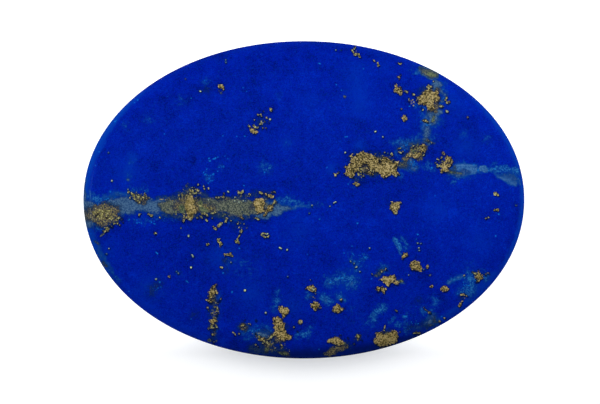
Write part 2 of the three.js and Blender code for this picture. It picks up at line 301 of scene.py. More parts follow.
# Grains that lie just under the surface, or are tarnished
DULL = [
    (-11.5, -2.07, .05, -11.32, -1.98, .05), (-6.9, -.45, .3, -6.85, -.7, .25), (-7.25, -.7, .12),
    (-7.5, -.85, .1), (-5.85, -.2, .3), (-5.75, -.55, .3), (-5.5, -.65, .24), (-4.6, -.95, .08),
    (-4.4, -.85, .1), (-6.65, .77, .07), (-6.69, 6.83, .07), (-6.96, -1.62, .06), (-3.22, -1.63, .06),
    (7.2, -4.33, .08), (5.45, -4.68, .12, 5.58, -4.62, .13), (7.4, 4.75, .08, 7.38, 4.45, .12),
    (7.55, 5.1, .1), (-2.07, -8.52, .22), (-1.3, -8.76, .14, -1.0, -8.76, .12), (2.3, -8.2, .14),
    (-4.78, 6.15, .05), (-4.67, 6.05, .05, -4.6, 6.02, .06), (2.33, 5.87, .05, 2.41, 5.82, .06),
    (-3.0, -.2, .12), (8.42, 1.56, .08, 8.6, 1.56, .1), (8.75, 1.5, .07, 8.92, 1.47, .06),
    (12.07, -.3, .06), (-3.1, -.9, .1), (-5.33, -8.0, .15), (-4.92, -8.06, .1), (-6.55, .85, .05),
    (6.28, 2.72, .14), (6.5, 3.1, .1), (-7.7, -.1, .06), (7.1, 7.14, .16, 7.25, 7.08, .2, 7.45, 7.05, .16),
]

# Dark gaps between the grains of a cluster
GAPS = [
    (3.08, 1.97, .07), (3.42, 2.04, .05, 3.5, 1.95, .06), (3.45, 1.82, .1),
    (4.36, 2.2, .12, 4.45, 2.1, .07), (4.92, 2.28, .07), (4.1, 1.9, .06), (4.05, 1.74, .06),
    (4.27, 1.95, .05), (2.78, 1.8, .05), (3.15, 2.05, .04), (4.7, 2.15, .05), (3.62, 2.3, .04),
    (8.2, 2.07, .04, 8.42, 2.06, .04), (8.02, 1.9, .04), (7.02, 5.36, .08), (7.2, 5.25, .05),
    (6.95, 5.95, .05), (7.45, 5.7, .05), (7.15, 6.05, .05), (-11.82, -1.02, .08, -11.62, -.82, .07),
    (-11.28, -1.0, .07, -11.12, -1.08, .11), (-11.35, -.85, .04), (-6.1, -.05, .06, -6.16, -.22, .06),
    (-2.2, -.5, .06), (-2.15, -.6, .06), (-6.5, -.4, .05), (-6.42, -.62, .05), (-4.66, 6.27, .08),
    (5.77, 4.58, .1), (2.13, -6.18, .07), (-2.15, -2.02, .08), (5.22, -.62, .04), (3.12, -7.88, .05),
    (-5.33, -5.82, .04), (4.8, -4.55, .05), (4.42, -5.12, .05), (6.22, -3.7, .04, 6.5, -3.72, .04),
    (-1.35, -7.35, .05), (-1.4, -7.75, .05), (4.6, -8.0, .05), (5.0, -7.85, .05), (-6.45, -.9, .1),
]

CYAN = [
    (-9.6, 5.5, .07), (-9.42, 5.66, .06), (-10.62, 4.5, .08), (-10.7, 4.42, .06), (-7.9, 3.71, .05),
    (-7.7, 5.85, .04), (-3.11, 4.2, .06), (-4.57, 3.6, .06), (-3.78, 3.58, .06), (-3.34, 3.6, .05),
    (2.41, 3.57, .07), (2.52, 3.58, .05), (-5.34, 2.34, .07), (-5.31, 2.2, .07), (-4.99, 2.32, .06),
    (-4.84, 2.38, .07), (-4.45, 2.45, .05), (-4.29, 2.3, .05), (-5.66, 1.52, .08), (-5.57, 1.4, .07),
    (-5.1, 1.43, .1), (-5.27, 1.36, .08), (-5.34, 1.19, .08), (-5.46, 1.7, .05), (-5.4, .94, .04),
    (-4.8, 1.82, .06), (-4.52, 1.86, .06), (-4.86, 1.6, .05), (-2.2, 1.55, .08), (-9.9, -1.18, .08),
    (-9.43, -1.17, .08), (-9.45, -1.35, .09), (-9.2, -1.35, .06), (-8.44, -1.42, .08), (-11.5, .05, .07),
    (-11.12, .05, .07), (-10.94, .43, .06), (-3.65, -2.78, .08), (3.07, -1.37, .06), (6.49, -2.02, .08),
    (6.43, -2.27, .05), (2.56, .86, .06), (.88, 7.75, .04, .98, 7.7, .04), (1.88, 6.49, .06),
    (2.15, 6.2, .05), (3.42, 7.41, .05), (1.33, 1.8, .05), (2.79, -2.67, .06), (.25, -3.13, .07),
    (2.8, -3.1, .05), (1.54, -4.73, .08), (5.76, -6.62, .08), (5.88, -6.68, .05), (5.0, -6.75, .05),
    (-8.36, -3.0, .03, -8.25, -3.1, .05), (-8.15, -4.72, .06), (-8.1, -4.98, .06),
    (-6.62, -4.62, .04, -6.54, -4.76, .04), (-4.07, -5.25, .08), (-6.35, -6.8, .06), (-9.9, -5.23, .05),
    (9.1, -4.7, .06), (9.4, -4.9, .06), (9.38, -5.17, .07), (10.96, -2.1, .05), (.88, -8.53, .08),
    (8.78, -5.33, .06), (-3.4, 6.36, .05), (-3.23, 6.11, .05), (-5.6, 6.77, .05), (7.52, .17, .06),
    (10.55, 1.64, .06), (10.9, 1.75, .08), (11.48, 1.78, .06), (9.68, 1.95, .06), (9.95, 1.65, .07),
    (6.23, 1.8, .05), (6.4, 1.75, .05), (-3.36, .8, .06), (7.5, 6.75, .06), (-11.8, 1.92, .07),
    (-11.6, 2.72, .05), (11.1, -.85, .07), (10.95, -.78, .05), (7.3, 1.8, .07), (7.86, -6.67, .06),
    (6.4, -6.08, .04), (.95, -1.13, .07), (6.05, 5.3, .08), (-4.56, -4.18, .08), (2.3, -3.05, .05),
    (2.9, -3.2, .05), (3.2, -3.5, .05), (3.5, -3.3, .06), (3.6, -3.8, .05), (3.9, -4.5, .05),
    (-6.35, 5.75, .04),
]

# Soft marks: strength, blur in millimetres, then the strokes.
TAN = [
    # pyrite dust: left end of the band
    (1.0, .22, [(-11.9, -.85, .4, -11.5, -.83, .85, -11.15, -.88, .85, -10.9, -.9, .55)]),
    (.8, .3, [(-12.0, -.85, .8, -11.3, -.85, 1.3, -10.8, -.8, .8), (-10.7, -1.1, .3), (-12.25, -.9, .5)]),
    (.9, .2, [(-11.8, -.4, .25, -11.2, -.35, .25), (-11.9, -1.3, .2, -11.2, -1.35, .35)]),
    # along the band
    (.75, .12, [(-9.65, .05, .12, -9.3, -.02, .36, -8.98, .02, .3), (-9.0, -.2, .2)]),
    (.8, .2, [(-7.3, -.5, .3, -6.85, -.35, .9, -6.6, .05, .6, -6.4, .4, .3),
              (-6.0, -.3, .8, -5.7, -.4, .55, -5.2, -.5, .4)]),
    (.5, .15, [(-2.9, -.4, .3), (-2.1, -.7, .3), (-4.9, .0, .2, -4.3, .0, .2)]),
    # round the clusters on the right
    (1.1, .14, [(6.2, 2.7, .3, 6.55, 2.8, .5, 6.85, 2.9, .3), (5.98, 2.55, .25), (6.6, 2.5, .55),
                (5.8, 2.3, .3)]),
    (.95, .16, [(7.6, 5.6, .3), (6.9, 4.44, .2)]),
    (.9, .16, [(7.6, 5.5, .2, 7.45, 5.15, .5)]),
    (.35, .2, [(7.45, 5.0, .2), (8.3, 1.62, .2), (7.1, 3.3, .25), (5.7, 1.95, .4)]),
    (.85, .2, [(3.3, 2.0, 1.0, 4.8, 1.9, .8)]),
    (.6, .2, [(7.1, 5.8, .9)]),
    (.7, .16, [(7.6, 6.25, .2, 7.62, 5.8, .25)]),
    # by the lower rim
    (.85, .2, [(-1.4, -7.9, .5), (-2.0, -8.2, .4), (-3.4, -7.3, .3)]),
    (.8, .1, [(1.15, -8.82, .16, 1.6, -8.68, .36, 2.1, -8.4, .42, 2.55, -8.32, .16)]),
    (.6, .15, [(-2.4, -7.95, .35, -2.1, -8.1, .4, -1.8, -7.75, .2), (-2.05, -8.5, .35),
               (-1.3, -8.75, .3, -.8, -8.8, .2)]),
    (.55, .15, [(3.12, -7.8, .3), (6.3, -7.65, .14, 6.55, -7.62, .14), (4.6, -8.0, 1.0), (-3.45, -7.2, .2),
                (9.05, -5.4, .12)]),
    # chains of grains
    (.8, .15, [(-5.15, -5.2, .4, -5.2, -5.8, .3)]),
    (.5, .15, [(-5.15, -7.2, .3), (4.55, -4.05, .2), (2.1, -5.65, .15), (-1.4, -7.4, .6)]),
]
OLIVE = [
    # grey-green rock: the band, from its left end to the blob
    (.9, .2, [(-12.4, -.85, .7, -12.0, -.9, .75)]),
    (.4, .25, [(-10.9, -.4, .6, -10.5, -.5, .4)]),
    (1.0, .17, [(-8.1, -.35, .3, -7.7, -.42, .7, -7.0, -.38, .85, -6.2, -.36, .8, -5.5, -.36, .74,
                 -4.9, -.34, .76, -4.3, -.36, .84, -3.8, -.44, .94, -3.3, -.5, .88, -2.8, -.46, .75)]),
    (.8, .14, [(-2.25, -.25, .3, -2.0, -.5, .45)]),
    (.5, .2, [(-5.4, -.8, .2, -4.8, -.85, .25, -4.2, -.9, .2), (-7.4, -.85, .2)]),
    (.5, .2, [(-8.7, -.9, .15), (-7.0, .05, .3, -6.4, .4, .35)]),
    (1.0, .15, [(-6.45, .1, .3, -6.4, -.9, .4), (-2.5, -.3, .5)]),
    (.5, .2, [(-9.8, .25, .2, -9.3, .1, .4, -8.9, .1, .3)]),
    # by the upper right rim
    (.85, .12, [(6.95, 7.22, .4, 7.25, 7.12, .5, 7.55, 7.1, .2)]),
    (.6, .2, [(6.65, 7.5, .2, 6.9, 7.3, .4)]),
    # between the clusters on the right
    (.6, .18, [(7.05, 3.35, .3, 7.35, 3.2, .2), (8.6, 1.8, .2)]),
    (.45, .25, [(6.5, 2.85, .6, 6.0, 2.6, .3), (5.4, 2.85, .2)]),
    (.75, .2, [(5.55, 1.9, .35, 5.8, 2.0, .35), (8.35, 1.62, .25)]),
    (.4, .25, [(6.1, 3.1, .2, 6.6, 3.2, .3), (7.1, 5.1, .3)]),
    # lower down, right and left
    (.55, .15, [(7.45, -6.7, .1, 7.5, -6.95, .2), (7.05, -7.25, .3, 7.4, -7.2, .16),
                (4.1, -4.3, .25, 4.6, -4.0, .25)]),
    (.7, .12, [(-11.8, -2.4, .1, -11.7, -2.6, .08), (-11.38, -3.55, .14, -11.2, -3.85, .14)]),
]
SLATE = [
    # grey-blue calcite of the veins
    (1.3, .36, [(-10.8, -.3, .65, -10.3, -.36, .88, -9.8, -.34, .74, -9.4, -.3, .64, -9.0, -.34, .7,
                 -8.4, -.4, .66, -7.9, -.4, .6)]),
    (.45, .2, [(-11.0, .12, .25, -10.6, .14, .35, -10.3, .0, .4)]),
    (.75, .2, [(-9.0, .05, .3, -8.6, .0, .25), (-9.6, .0, .3)]),
    (1.1, .2, [(-12.35, -.6, 1.0, -12.2, -1.3, .6), (-12.0, -.35, .4)]),
    (1.7, .14, [(-2.6, -.88, .25, -2.2, -.88, .35, -1.9, -.85, .3)]),
    (1.2, .2, [(-2.4, -7.75, .5, -2.1, -8.05, .5)]),
    (1.0, .16, [(-3.3, -.6, .7, -2.8, -.55, .7, -2.6, -.5, .7),
                (-1.85, -.8, .3, -1.6, -.66, .5, -1.2, -.5, .35, -.9, -.45, .2)]),
    (.9, .25, [(5.6, 1.9, .35, 5.85, 2.0, .5, 6.1, 2.15, .3),
               (6.95, 3.35, .35, 6.98, 3.7, .42, 7.1, 4.0, .25)]),
    (.55, .25, [(5.5, 3.0, .3, 6.1, 3.1, .4, 6.5, 3.3, .3), (6.15, 1.8, .3, 6.45, 1.75, .2),
                (7.35, 4.4, .3, 7.75, 4.55, .25)]),
    (1.3, .14, [(7.52, 6.25, .3, 7.62, 6.5, .4, 7.55, 6.75, .12)]),
    (.95, .14, [(7.8, 6.15, .12, 8.05, 5.9, .12), (7.9, 5.6, .16), (7.45, 5.0, .4)]),
    (.95, .2, [(7.3, 5.2, .4, 7.4, 4.75, .65, 7.3, 4.4, .45), (7.75, 5.0, .35), (7.15, 3.2, .3)]),
    (.8, .16, [(8.3, 1.6, .3, 8.8, 1.45, .35, 9.4, 1.5, .25),
               (-2.1, -.3, .5, -1.7, -.5, .6, -1.3, -.5, .45, -.8, -.48, .3)]),
    (1.0, .1, [(6.6, 7.55, .16, 6.9, 7.35, .4, 7.3, 7.18, .4, 7.6, 7.1, .16)]),
    (2.0, .12, [(6.7, 7.36, .2, 7.0, 7.2, .52, 7.25, 7.08, .5, 7.55, 7.06, .22)]),
    (.75, .12, [(5.3, -4.75, .15, 5.6, -4.65, .2), (-9.93, 1.16, .16), (9.15, 1.6, .25)]),
    (.75, .3, [(7.35, -6.7, .3, 7.2, -7.0, .5)]),
    (.5, .35, [(6.5, -7.3, .3)]),
    (1.0, .08, [(-12.42, .9, .1, -12.44, -.4, .18)]),
    (.35, .2, [(11.2, 1.36, .2, 11.6, 1.3, .4, 11.9, 1.22, .5, 12.05, 1.1, .4)]),
]
PALE = [
    # the palest blue in them; the streaks at the ends of the oval are painted reflection
    (1.0, .16, [(8.7, 1.8, .35, 9.15, 1.78, .66, 9.45, 1.74, .56, 9.7, 1.85, .14)]),
    (1.4, .07, [(10.14, 1.72, .32, 10.33, 1.7, .38)]),
    (1.6, .16, [(8.3, 1.65, .2, 9.1, 1.5, .42, 9.7, 1.6, .3)]),
    (.7, .15, [(-12.0, -.15, .3)]),
    (.45, .15, [(-11.8, -2.4, .15, -11.2, -3.6, .2, -10.8, -4.2, .1)]),
    (.75, .18, [(-2.2, -.85, .2),
                (-1.55, -.5, .4, -1.1, -.45, .4, -.7, -.45, .2, -.1, -.44, .1, .4, -.44, .04)]),
    (.5, .15, [(10.5, 1.68, .12, 11.0, 1.7, .1, 11.5, 1.8, .08), (12.0, 1.6, .2), (9.9, 1.62, .12),
               (11.3, 1.3, .14)]),
    (.6, .15, [(1.2, -5.6, .15, 1.3, -5.75, .2), (3.95, -6.62, .2, 4.05, -6.75, .12)]),
    (.7, .1, [(1.53, -4.74, .14), (2.75, -4.8, .18), (6.45, 7.3, .1, 6.75, 7.1, .12), (5.15, 3.18, .12)]),
    (.9, .045, [(5.17, -2.15, .03, 5.26, -2.55, .05, 5.5, -3.0, .08, 5.6, -3.2, .08)]),
    (.75, .1, [(8.25, -4.72, .16, 8.5, -4.6, .1), (8.8, -4.45, .16, 9.05, -4.36, .14), (5.05, -6.75, .1)]),
    # painted reflection: streaks at both ends of the oval
    (.8, .05, [(12.33, 1.15, .09, 12.36, .8, .08), (-12.42, 1.6, .08, -12.42, .6, .2, -12.42, -.3, .24)]),
    (1.0, .28, [(6.95, 4.1, .3, 7.2, 4.5, .6, 7.5, 5.1, .5, 7.6, 5.4, .3), (7.55, 6.45, .4)]),
    (.6, .25, [(-11.3, .15, .2, -10.5, .3, .3, -9.8, .25, .2)]),
    # painted reflection: a streak at the left end
    (1.0, .05, [(-12.1, .5, .05, -12.06, -.35, .07)]),
    (.95, .15, [(10.9, 1.5, .04, 11.2, 1.25, .2, 11.6, 1.18, .4, 11.88, 1.12, .5, 12.06, .95, .3)]),
]
TEAL = [
    # teal clouds, mostly round the veins and the clusters
    (.22, 1.0, [(3.5, -7.1, .8), (-3.2, -4.0, 1.4), (6.3, -6.2, .8), (-8.6, -5.2, .8), (2.8, -6.4, .8)]),
    (.6, .3, [(-1.5, -.1, .3, -.8, -.1, .5, -.3, -.2, .4, .2, -.35, .15, 1.0, -.3, .06)]),
    (.75, .3, [(-12.2, .2, .3, -11.6, -.1, .45, -11.0, -.1, .3), (-12.1, -1.3, .4, -11.6, -1.6, .3)]),
    (.75, .35, [(-3.3, -7.4, .5, -2.6, -7.5, .5, -1.9, -7.7, .4), (-1.45, -5.2, .2, -1.6, -6.2, .3)]),
    (.75, .4, [(6.8, -6.3, .2, 7.2, -6.6, .5, 7.5, -6.9, .4),
               (8.9, -4.4, .3, 9.6, -4.6, .7, 9.4, -5.3, .6)]),
    (.6, .35, [(2.7, -3.3, .2, 3.1, -3.7, .4, 3.0, -4.1, .3), (-8.6, -.95, .3, -7.4, -1.0, .35)]),
    (.5, .45, [(6.9, 5.0, .5, 6.9, 4.2, .5), (7.9, 5.5, .4, 7.9, 6.6, .4), (7.3, 3.5, .5), (5.5, 2.6, .4),
               (6.5, 5.3, .3)]),
    (.4, .3, [(6.2, 7.35, .4, 6.7, 7.3, .5)]),
    (.7, .3, [(9.3, -4.2, .3, 10.4, -4.4, .4), (4.6, -3.95, .5)]),
    (.5, .35, [(-4.9, -.95, .3, -3.9, -1.15, .4), (-9.8, .5, .4, -9.0, .5, .3)]),
    (.5, .3, [(-5.0, -5.4, .2, -5.0, -7.8, .3), (8.2, 1.35, .3, 9.6, 1.3, .3), (2.9, .95, .3),
              (5.5, 1.4, .4)]),
    (.6, .35, [(-2.3, 1.8, .5, -1.9, 1.75, .4), (-5.4, 1.3, .4), (-4.7, 1.85, .2)]),
    (.85, .5, [(1.5, -4.65, .4, 2.1, -4.5, .6, 2.8, -4.7, .6)]),
    (.9, .3, [(1.0, -5.5, .3, 1.3, -5.7, .5, 1.6, -5.8, .2), (2.05, -5.5, .3, 2.3, -5.7, .2),
              (.3, -5.45, .3)]),
    (.95, .22, [(3.95, -6.65, .35, 4.1, -6.85, .2), (4.95, -6.95, .12, 5.08, -6.75, .16)]),
    (.85, .3, [(4.2, -6.4, .4, 4.5, -6.2, .4), (3.85, -7.0, .3), (5.8, -6.65, .2), (5.35, -7.1, .3)]),
    (.85, .2, [(10.5, 1.72, .25, 11.4, 1.75, .4, 12.1, 1.6, .4), (11.2, 1.35, .25, 12.0, 1.1, .5),
               (11.5, 1.95, .2)]),
    (.55, .2, [(8.6, 1.95, .3, 9.1, 2.05, .3)]),
    (.8, .2, [(9.5, 1.66, .4), (9.75, 1.8, .25, 10.0, 1.6, .2)]),
    (.6, .3, [(8.8, 1.25, .35, 9.6, 1.5, .4), (8.6, .95, .3), (9.12, 3.75, .25),
              (7.0, 4.1, .3, 7.3, 4.3, .5)]),
    (.7, .4, [(5.2, 3.2, .3, 6.1, 3.2, .4, 6.6, 3.5, .3), (5.9, 2.0, .8, 6.4, 1.8, .3),
              (7.0, 1.95, .3, 7.4, 1.75, .3)]),
    (.85, .3, [(-.35, -7.75, .3, .2, -7.65, .4), (.4, -7.3, .2), (-1.5, -5.75, .2)]),
    (.9, .18, [(8.3, -4.7, .3, 8.9, -4.42, .25, 9.15, -4.36, .1)]),
    (.75, .35, [(9.6, -4.7, .4, 9.3, -5.1, .4, 8.8, -5.3, .2), (10.3, -4.5, .3)]),
    (.5, .35, [(7.3, -5.65, .3, 7.6, -5.85, .4, 7.3, -6.1, .2), (.6, -5.2, .4)]),
    (.6, .35, [(-3.2, -7.75, .4), (-2.3, -7.3, .4, -1.9, -7.2, .2), (10.5, -4.35, .3), (5.9, -7.3, .4)]),
    (.9, .1, [(5.24, -2.15, .12, 5.36, -2.5, .3, 5.55, -2.9, .2)]),
    (.55, .25, [(5.6, -2.3, .3, 5.85, -2.7, .3), (3.35, -3.4, .25, 3.55, -3.25, .25),
                (2.6, -3.1, .15, 2.8, -3.2, .15)]),
    (.45, .45, [(-4.3, -3.6, .3, -3.4, -3.6, .3), (9.2, -3.75, .1, 9.6, -3.75, .1), (-8.6, -5.2, .3),
                (2.6, -4.1, .4)]),
    (.5, .4, [(-9.8, 2.2, .3), (-9.9, 1.35, .3), (-10.1, 4.2, .25), (-.95, 3.1, .2), (-1.38, 5.95, .2),
              (10.4, 3.5, .4)]),
    (.45, .4, [(-8.8, 4.5, .4), (-6.9, 5.6, .35), (-5.5, 6.7, .4)]),
    (.35, .4, [(-10.6, .25, .3, -11.5, .0, .3), (-8.9, -1.2, .5, -9.8, -1.2, .3),
               (-12.2, -1.5, .3, -11.9, -2.4, .25)]),
    (.6, .25, [(-11.7, -2.9, .2, -11.2, -3.8, .25, -10.5, -4.7, .2), (-6.9, -4.25, .1, -7.2, -4.2, .1)]),
    (.5, .5, [(7.1, -7.0, .6), (-5.0, -6.2, .3, -4.9, -5.5, .3), (5.9, -7.3, .6)]),
    (.6, .25, [(6.4, 7.25, .35), (7.7, 6.6, .3), (7.7, 4.5, .5), (6.7, 4.3, .3), (10.9, 2.0, .2),
               (7.9, 6.1, .3, 7.9, 5.4, .2)]),
]
HAZE = [
    # dark and dusty, round the clusters
    (.6, .35, [(3.3, 2.0, 1.4, 4.8, 1.9, 1.1), (6.6, 2.8, .7), (7.1, 5.9, 1.2), (5.9, 2.5, .5),
               (8.1, 2.0, .7)]),
    (.6, .35, [(-2.3, -7.8, .9, -1.9, -8.2, .8), (-3.4, -7.3, .5), (-5.1, -5.3, .4, -5.1, -7.9, .4),
               (-1.2, -7.4, .7)]),
    (.75, .22, [(-8.2, .0, .3, -7.2, .1, .3, -6.6, .5, .4, -5.9, .4, .4, -5.5, .1, .2),
                (-6.9, -.95, .2, -5.2, -.85, .3)]),
    (.75, .2, [(-5.0, .08, .2, -3.9, .12, .2, -3.0, .15, .2), (-4.6, -.9, .2, -3.0, -1.05, .1),
               (-2.0, .1, .6)]),
    (.4, .45, [(-3.6, -1.4, .7)]),
    (.7, .3, [(-4.4, -3.5, .4), (3.0, 1.15, .4)]),
    (.75, .22, [(-8.0, -.9, .2, -7.2, -.95, .35, -6.8, -1.0, .3),
                (-5.6, -.85, .3, -4.8, -.9, .4, -4.1, -1.0, .3, -2.6, -1.08, .25)]),
    (.6, .3, [(-12.2, -1.4, .3, -11.4, -1.5, .4, -10.4, -1.0, .4), (-2.9, .3, .3, -1.8, .35, .3)]),
    (.7, .25, [(-11.2, -1.6, .5), (-2.8, -8.5, .6, -1.2, -8.6, .5), (-11.2, -.25, .5, -10.6, -.3, .4)]),
    (.5, .4, [(-8.6, -5.2, .5, -8.2, -4.8, .3), (-6.2, -6.6, .4), (-4.4, -4.0, .3), (6.6, -5.7, .3),
              (-5.5, 6.2, .4)]),
    (.55, .4, [(6.0, -7.3, .3, 7.2, -7.0, .5), (4.3, -4.2, .4), (.5, -5.6, .2), (4.7, -7.9, 1.1),
               (1.8, -8.1, .5)]),
    (.5, .3, [(9.0, -5.6, .3), (9.9, -4.4, .4), (-2.4, 4.4, .5), (5.4, 6.2, .3), (5.1, -.4, .5),
              (2.6, -8.3, .5), (3.1, -7.9, .3)]),
]
SPECKLE = [
    # many tan specks, too small to list
    (.5, .3, [(-6.9, .2, .4, -6.3, .5, .4, -5.9, .4, .3), (-6.4, -.3, .8), (-5.7, -.4, .5, -5.0, -.7, .2)]),
    (.42, .2, [(-8.1, -.05, .15, -7.0, .05, .2), (-7.3, -.75, .2, -6.8, -.8, .2),
               (-5.1, .1, .15, -4.3, .1, .15)]),
    (.95, .5, [(-11.75, -.9, .3, -11.2, -.85, .5)]),
    (.5, .3, [(-10.7, -1.1, .3), (-11.4, -.3, .3), (-9.6, .15, .25, -8.9, .1, .25), (-12.0, -1.1, .5)]),
    (.4, .2, [(-4.3, -.9, .1, -3.0, -.95, .1), (-3.9, .1, .15, -3.0, .1, .15), (-2.1, .0, .5)]),
    (.36, .3, [(-3.7, -1.5, .5, -3.6, -1.8, .2), (-5.6, .8, .3), (-6.9, .6, .3)]),
    (.58, .35, [(-2.6, -7.7, .4, -2.1, -8.1, .5, -1.7, -8.4, .3), (-5.0, -5.9, .2, -5.1, -7.5, .3)]),
    (.42, .3, [(-3.4, -7.2, .3), (-1.3, -7.3, .6), (-1.2, -8.3, .4), (-.9, -8.75, .3)]),
    (.5, .3, [(3.2, 2.0, 1.0, 4.9, 1.9, .9), (3.2, 1.5, .4, 3.9, 1.4, .3), (5.6, 2.0, .3),
              (6.5, 2.75, .6, 5.9, 2.5, .2)]),
    (.5, .3, [(7.1, 5.9, 1.0), (8.1, 2.0, .5), (7.7, 2.2, .3), (6.3, 5.5, .4)]),
    (.4, .2, [(-2.4, 4.4, .4), (4.7, -7.9, .9), (3.1, -7.8, .3), (1.8, -8.1, .5), (9.9, -4.3, .3),
              (9.1, -5.6, .2)]),
    (.36, .2, [(4.5, -4.1, .3), (.55, -5.6, .2), (-11.2, -1.6, .3), (5.4, 6.3, .2), (5.1, -.4, .3),
               (3.0, 8.3, .2)]),
]
SPARKS = [
    # many pale blue specks, too small to list
    (.36, .35, [(-5.5, 1.5, .4, -5.3, 1.2, .4), (-5.2, 2.35, .3, -4.8, 2.35, .2), (-4.7, 1.8, .2)]),
    (.32, .35, [(-9.7, -1.2, .3, -8.6, -1.3, .3), (-11.3, 0, .4, -10.8, .1, .2), (-7.8, -1.1, .2),
                (3.4, -3.3, .4)]),
    (.3, .4, [(9.4, -4.9, .5, 8.8, -5.2, .3), (2.2, -4.5, .7), (-8.3, -5.1, .4), (-2.6, -7.3, .6),
              (7.6, -5.9, .3)]),
    (.26, .4, [(-10.6, .3, .4), (-3.2, -7.6, .4), (6.3, -7.1, .7), (1.2, -5.5, .4), (4.9, -6.9, .3),
               (-11.9, 1.0, .4)]),
    (.3, .3, [(5.8, 3.0, .6), (6.2, 2.0, .5), (7.2, 4.2, .4)]),
]
COOL = [
    # blue that is a little greener than the rest
    (.5, 1.2, [(3.0, 7.2, 1.0, 3.2, 5.4, 1.0), (8.5, 5.5, 1.0), (9.2, 3.0, 1.0)]),
    (.35, 1.2, [(.5, 5.6, .8), (7.2, 4.6, 1.0), (7.2, 6.8, .8), (4.6, 7.6, .8)]),
    (.7, .5, [(9.1, 3.6, .4), (-10.0, 1.3, .4, -9.7, 2.4, .5), (3.2, 3.1, .4), (1.6, 1.7, .4),
              (-.9, 3.2, .3)]),
    (.45, 1.5, [(-10.0, 1.6, 1.0), (-.3, -1.8, 1.0), (7.6, -.6, 1.0), (10.0, -2.4, 1.0),
                (-11.2, -3.0, .8)]),
    (.5, 1.2, [(-8.8, -5.0, 1.0), (-4.6, -3.2, 1.6), (-3.0, -5.4, 1.2), (-.6, -6.0, .8)]),
    (.6, 1.2, [(3.0, -4.0, .8, 2.2, -5.0, .8), (9.5, -4.8, 1.0), (-2.6, -7.6, 1.0)]),
    # these three, along the rim, are painted light on the shoulder
    (1.0, .16, [(-12.2, 1.8, .3, -11.4, 3.5, .5, -10.7, 4.5, .25)]),
    (.9, .22, [(10.9, -4.2, .3, 9.8, -5.4, .5, 8.6, -6.35, .3, 7.4, -7.1, .2)]),
    (.8, .2, [(-12.3, -1.6, .3, -11.9, -2.6, .35, -11.2, -3.7, .3)]),
]
GOLD = [
    # brighter and browner parts of the pyrite
    (1.2, .12, [(-1.35, -6.25, .3, -1.0, -6.3, .35)]),
    (.9, .12, [(4.5, -4.6, .4, 5.1, -4.7, .5)]),
    (.25, .12, [(-2.65, -.15, .4, -2.4, -.55, .4)]),
    (.5, .15, [(2.45, 1.4, .3, 2.8, 1.3, .2), (3.7, 2.0, .3, 4.3, 1.6, .4, 5.0, 1.5, .4),
               (7.0, 7.17, .4, 7.4, 7.08, .4)]),
    (.9, .15, [(4.2, -8.0, .4, 5.1, -8.0, .5)]),
    (.7, .12, [(1.6, -8.05, .3, 2.0, -8.0, .2), (1.95, -6.05, .25), (.35, -5.05, .25)]),
    (.35, .2, [(8.1, 2.0, .5), (6.35, -3.75, .5)]),
    (.35, .12, [(-6.4, .1, .3, -6.4, -.3, .3), (8.05, -5.05, .2), (7.4, 5.5, .3)]),
    (.6, .12, [(-9.1, .1, .2), (8.3, 2.3, .2), (5.2, -.4, .3), (-5.2, -5.3, .3), (-1.4, -6.9, .3),
               (-.9, -7.8, .3)]),
]
BROWN = [
    # darker parts of the pyrite
    (.45, .25, [(2.7, 1.7, .5, 3.3, 2.3, .5, 4.0, 2.1, .5), (-6.5, -.75, .3)]),
    (.65, .15, [(2.7, 1.8, .4)]),
    (.22, .25, [(6.8, 5.9, .5)]),
    (.9, .15, [(2.75, 2.0, .35), (3.45, 1.95, .25), (4.3, 2.2, .35, 5.0, 2.2, .25),
               (3.3, 1.5, .3, 4.0, 1.45, .25)]),
    (.8, .15, [(6.85, 6.05, .4), (7.3, 5.15, .25)]),
    (.3, .15, [(6.2, -3.85, .2, 6.6, -3.95, .2)]),
    (.9, .08, [(6.27, -3.6, .14)]),
    (.8, .12, [(1.85, -6.35, .25), (4.3, -5.1, .3), (-6.2, -1.0, .2)]),
    (.5, .12, [(4.6, -8.1, .4), (-1.3, -7.5, .3)]),
]
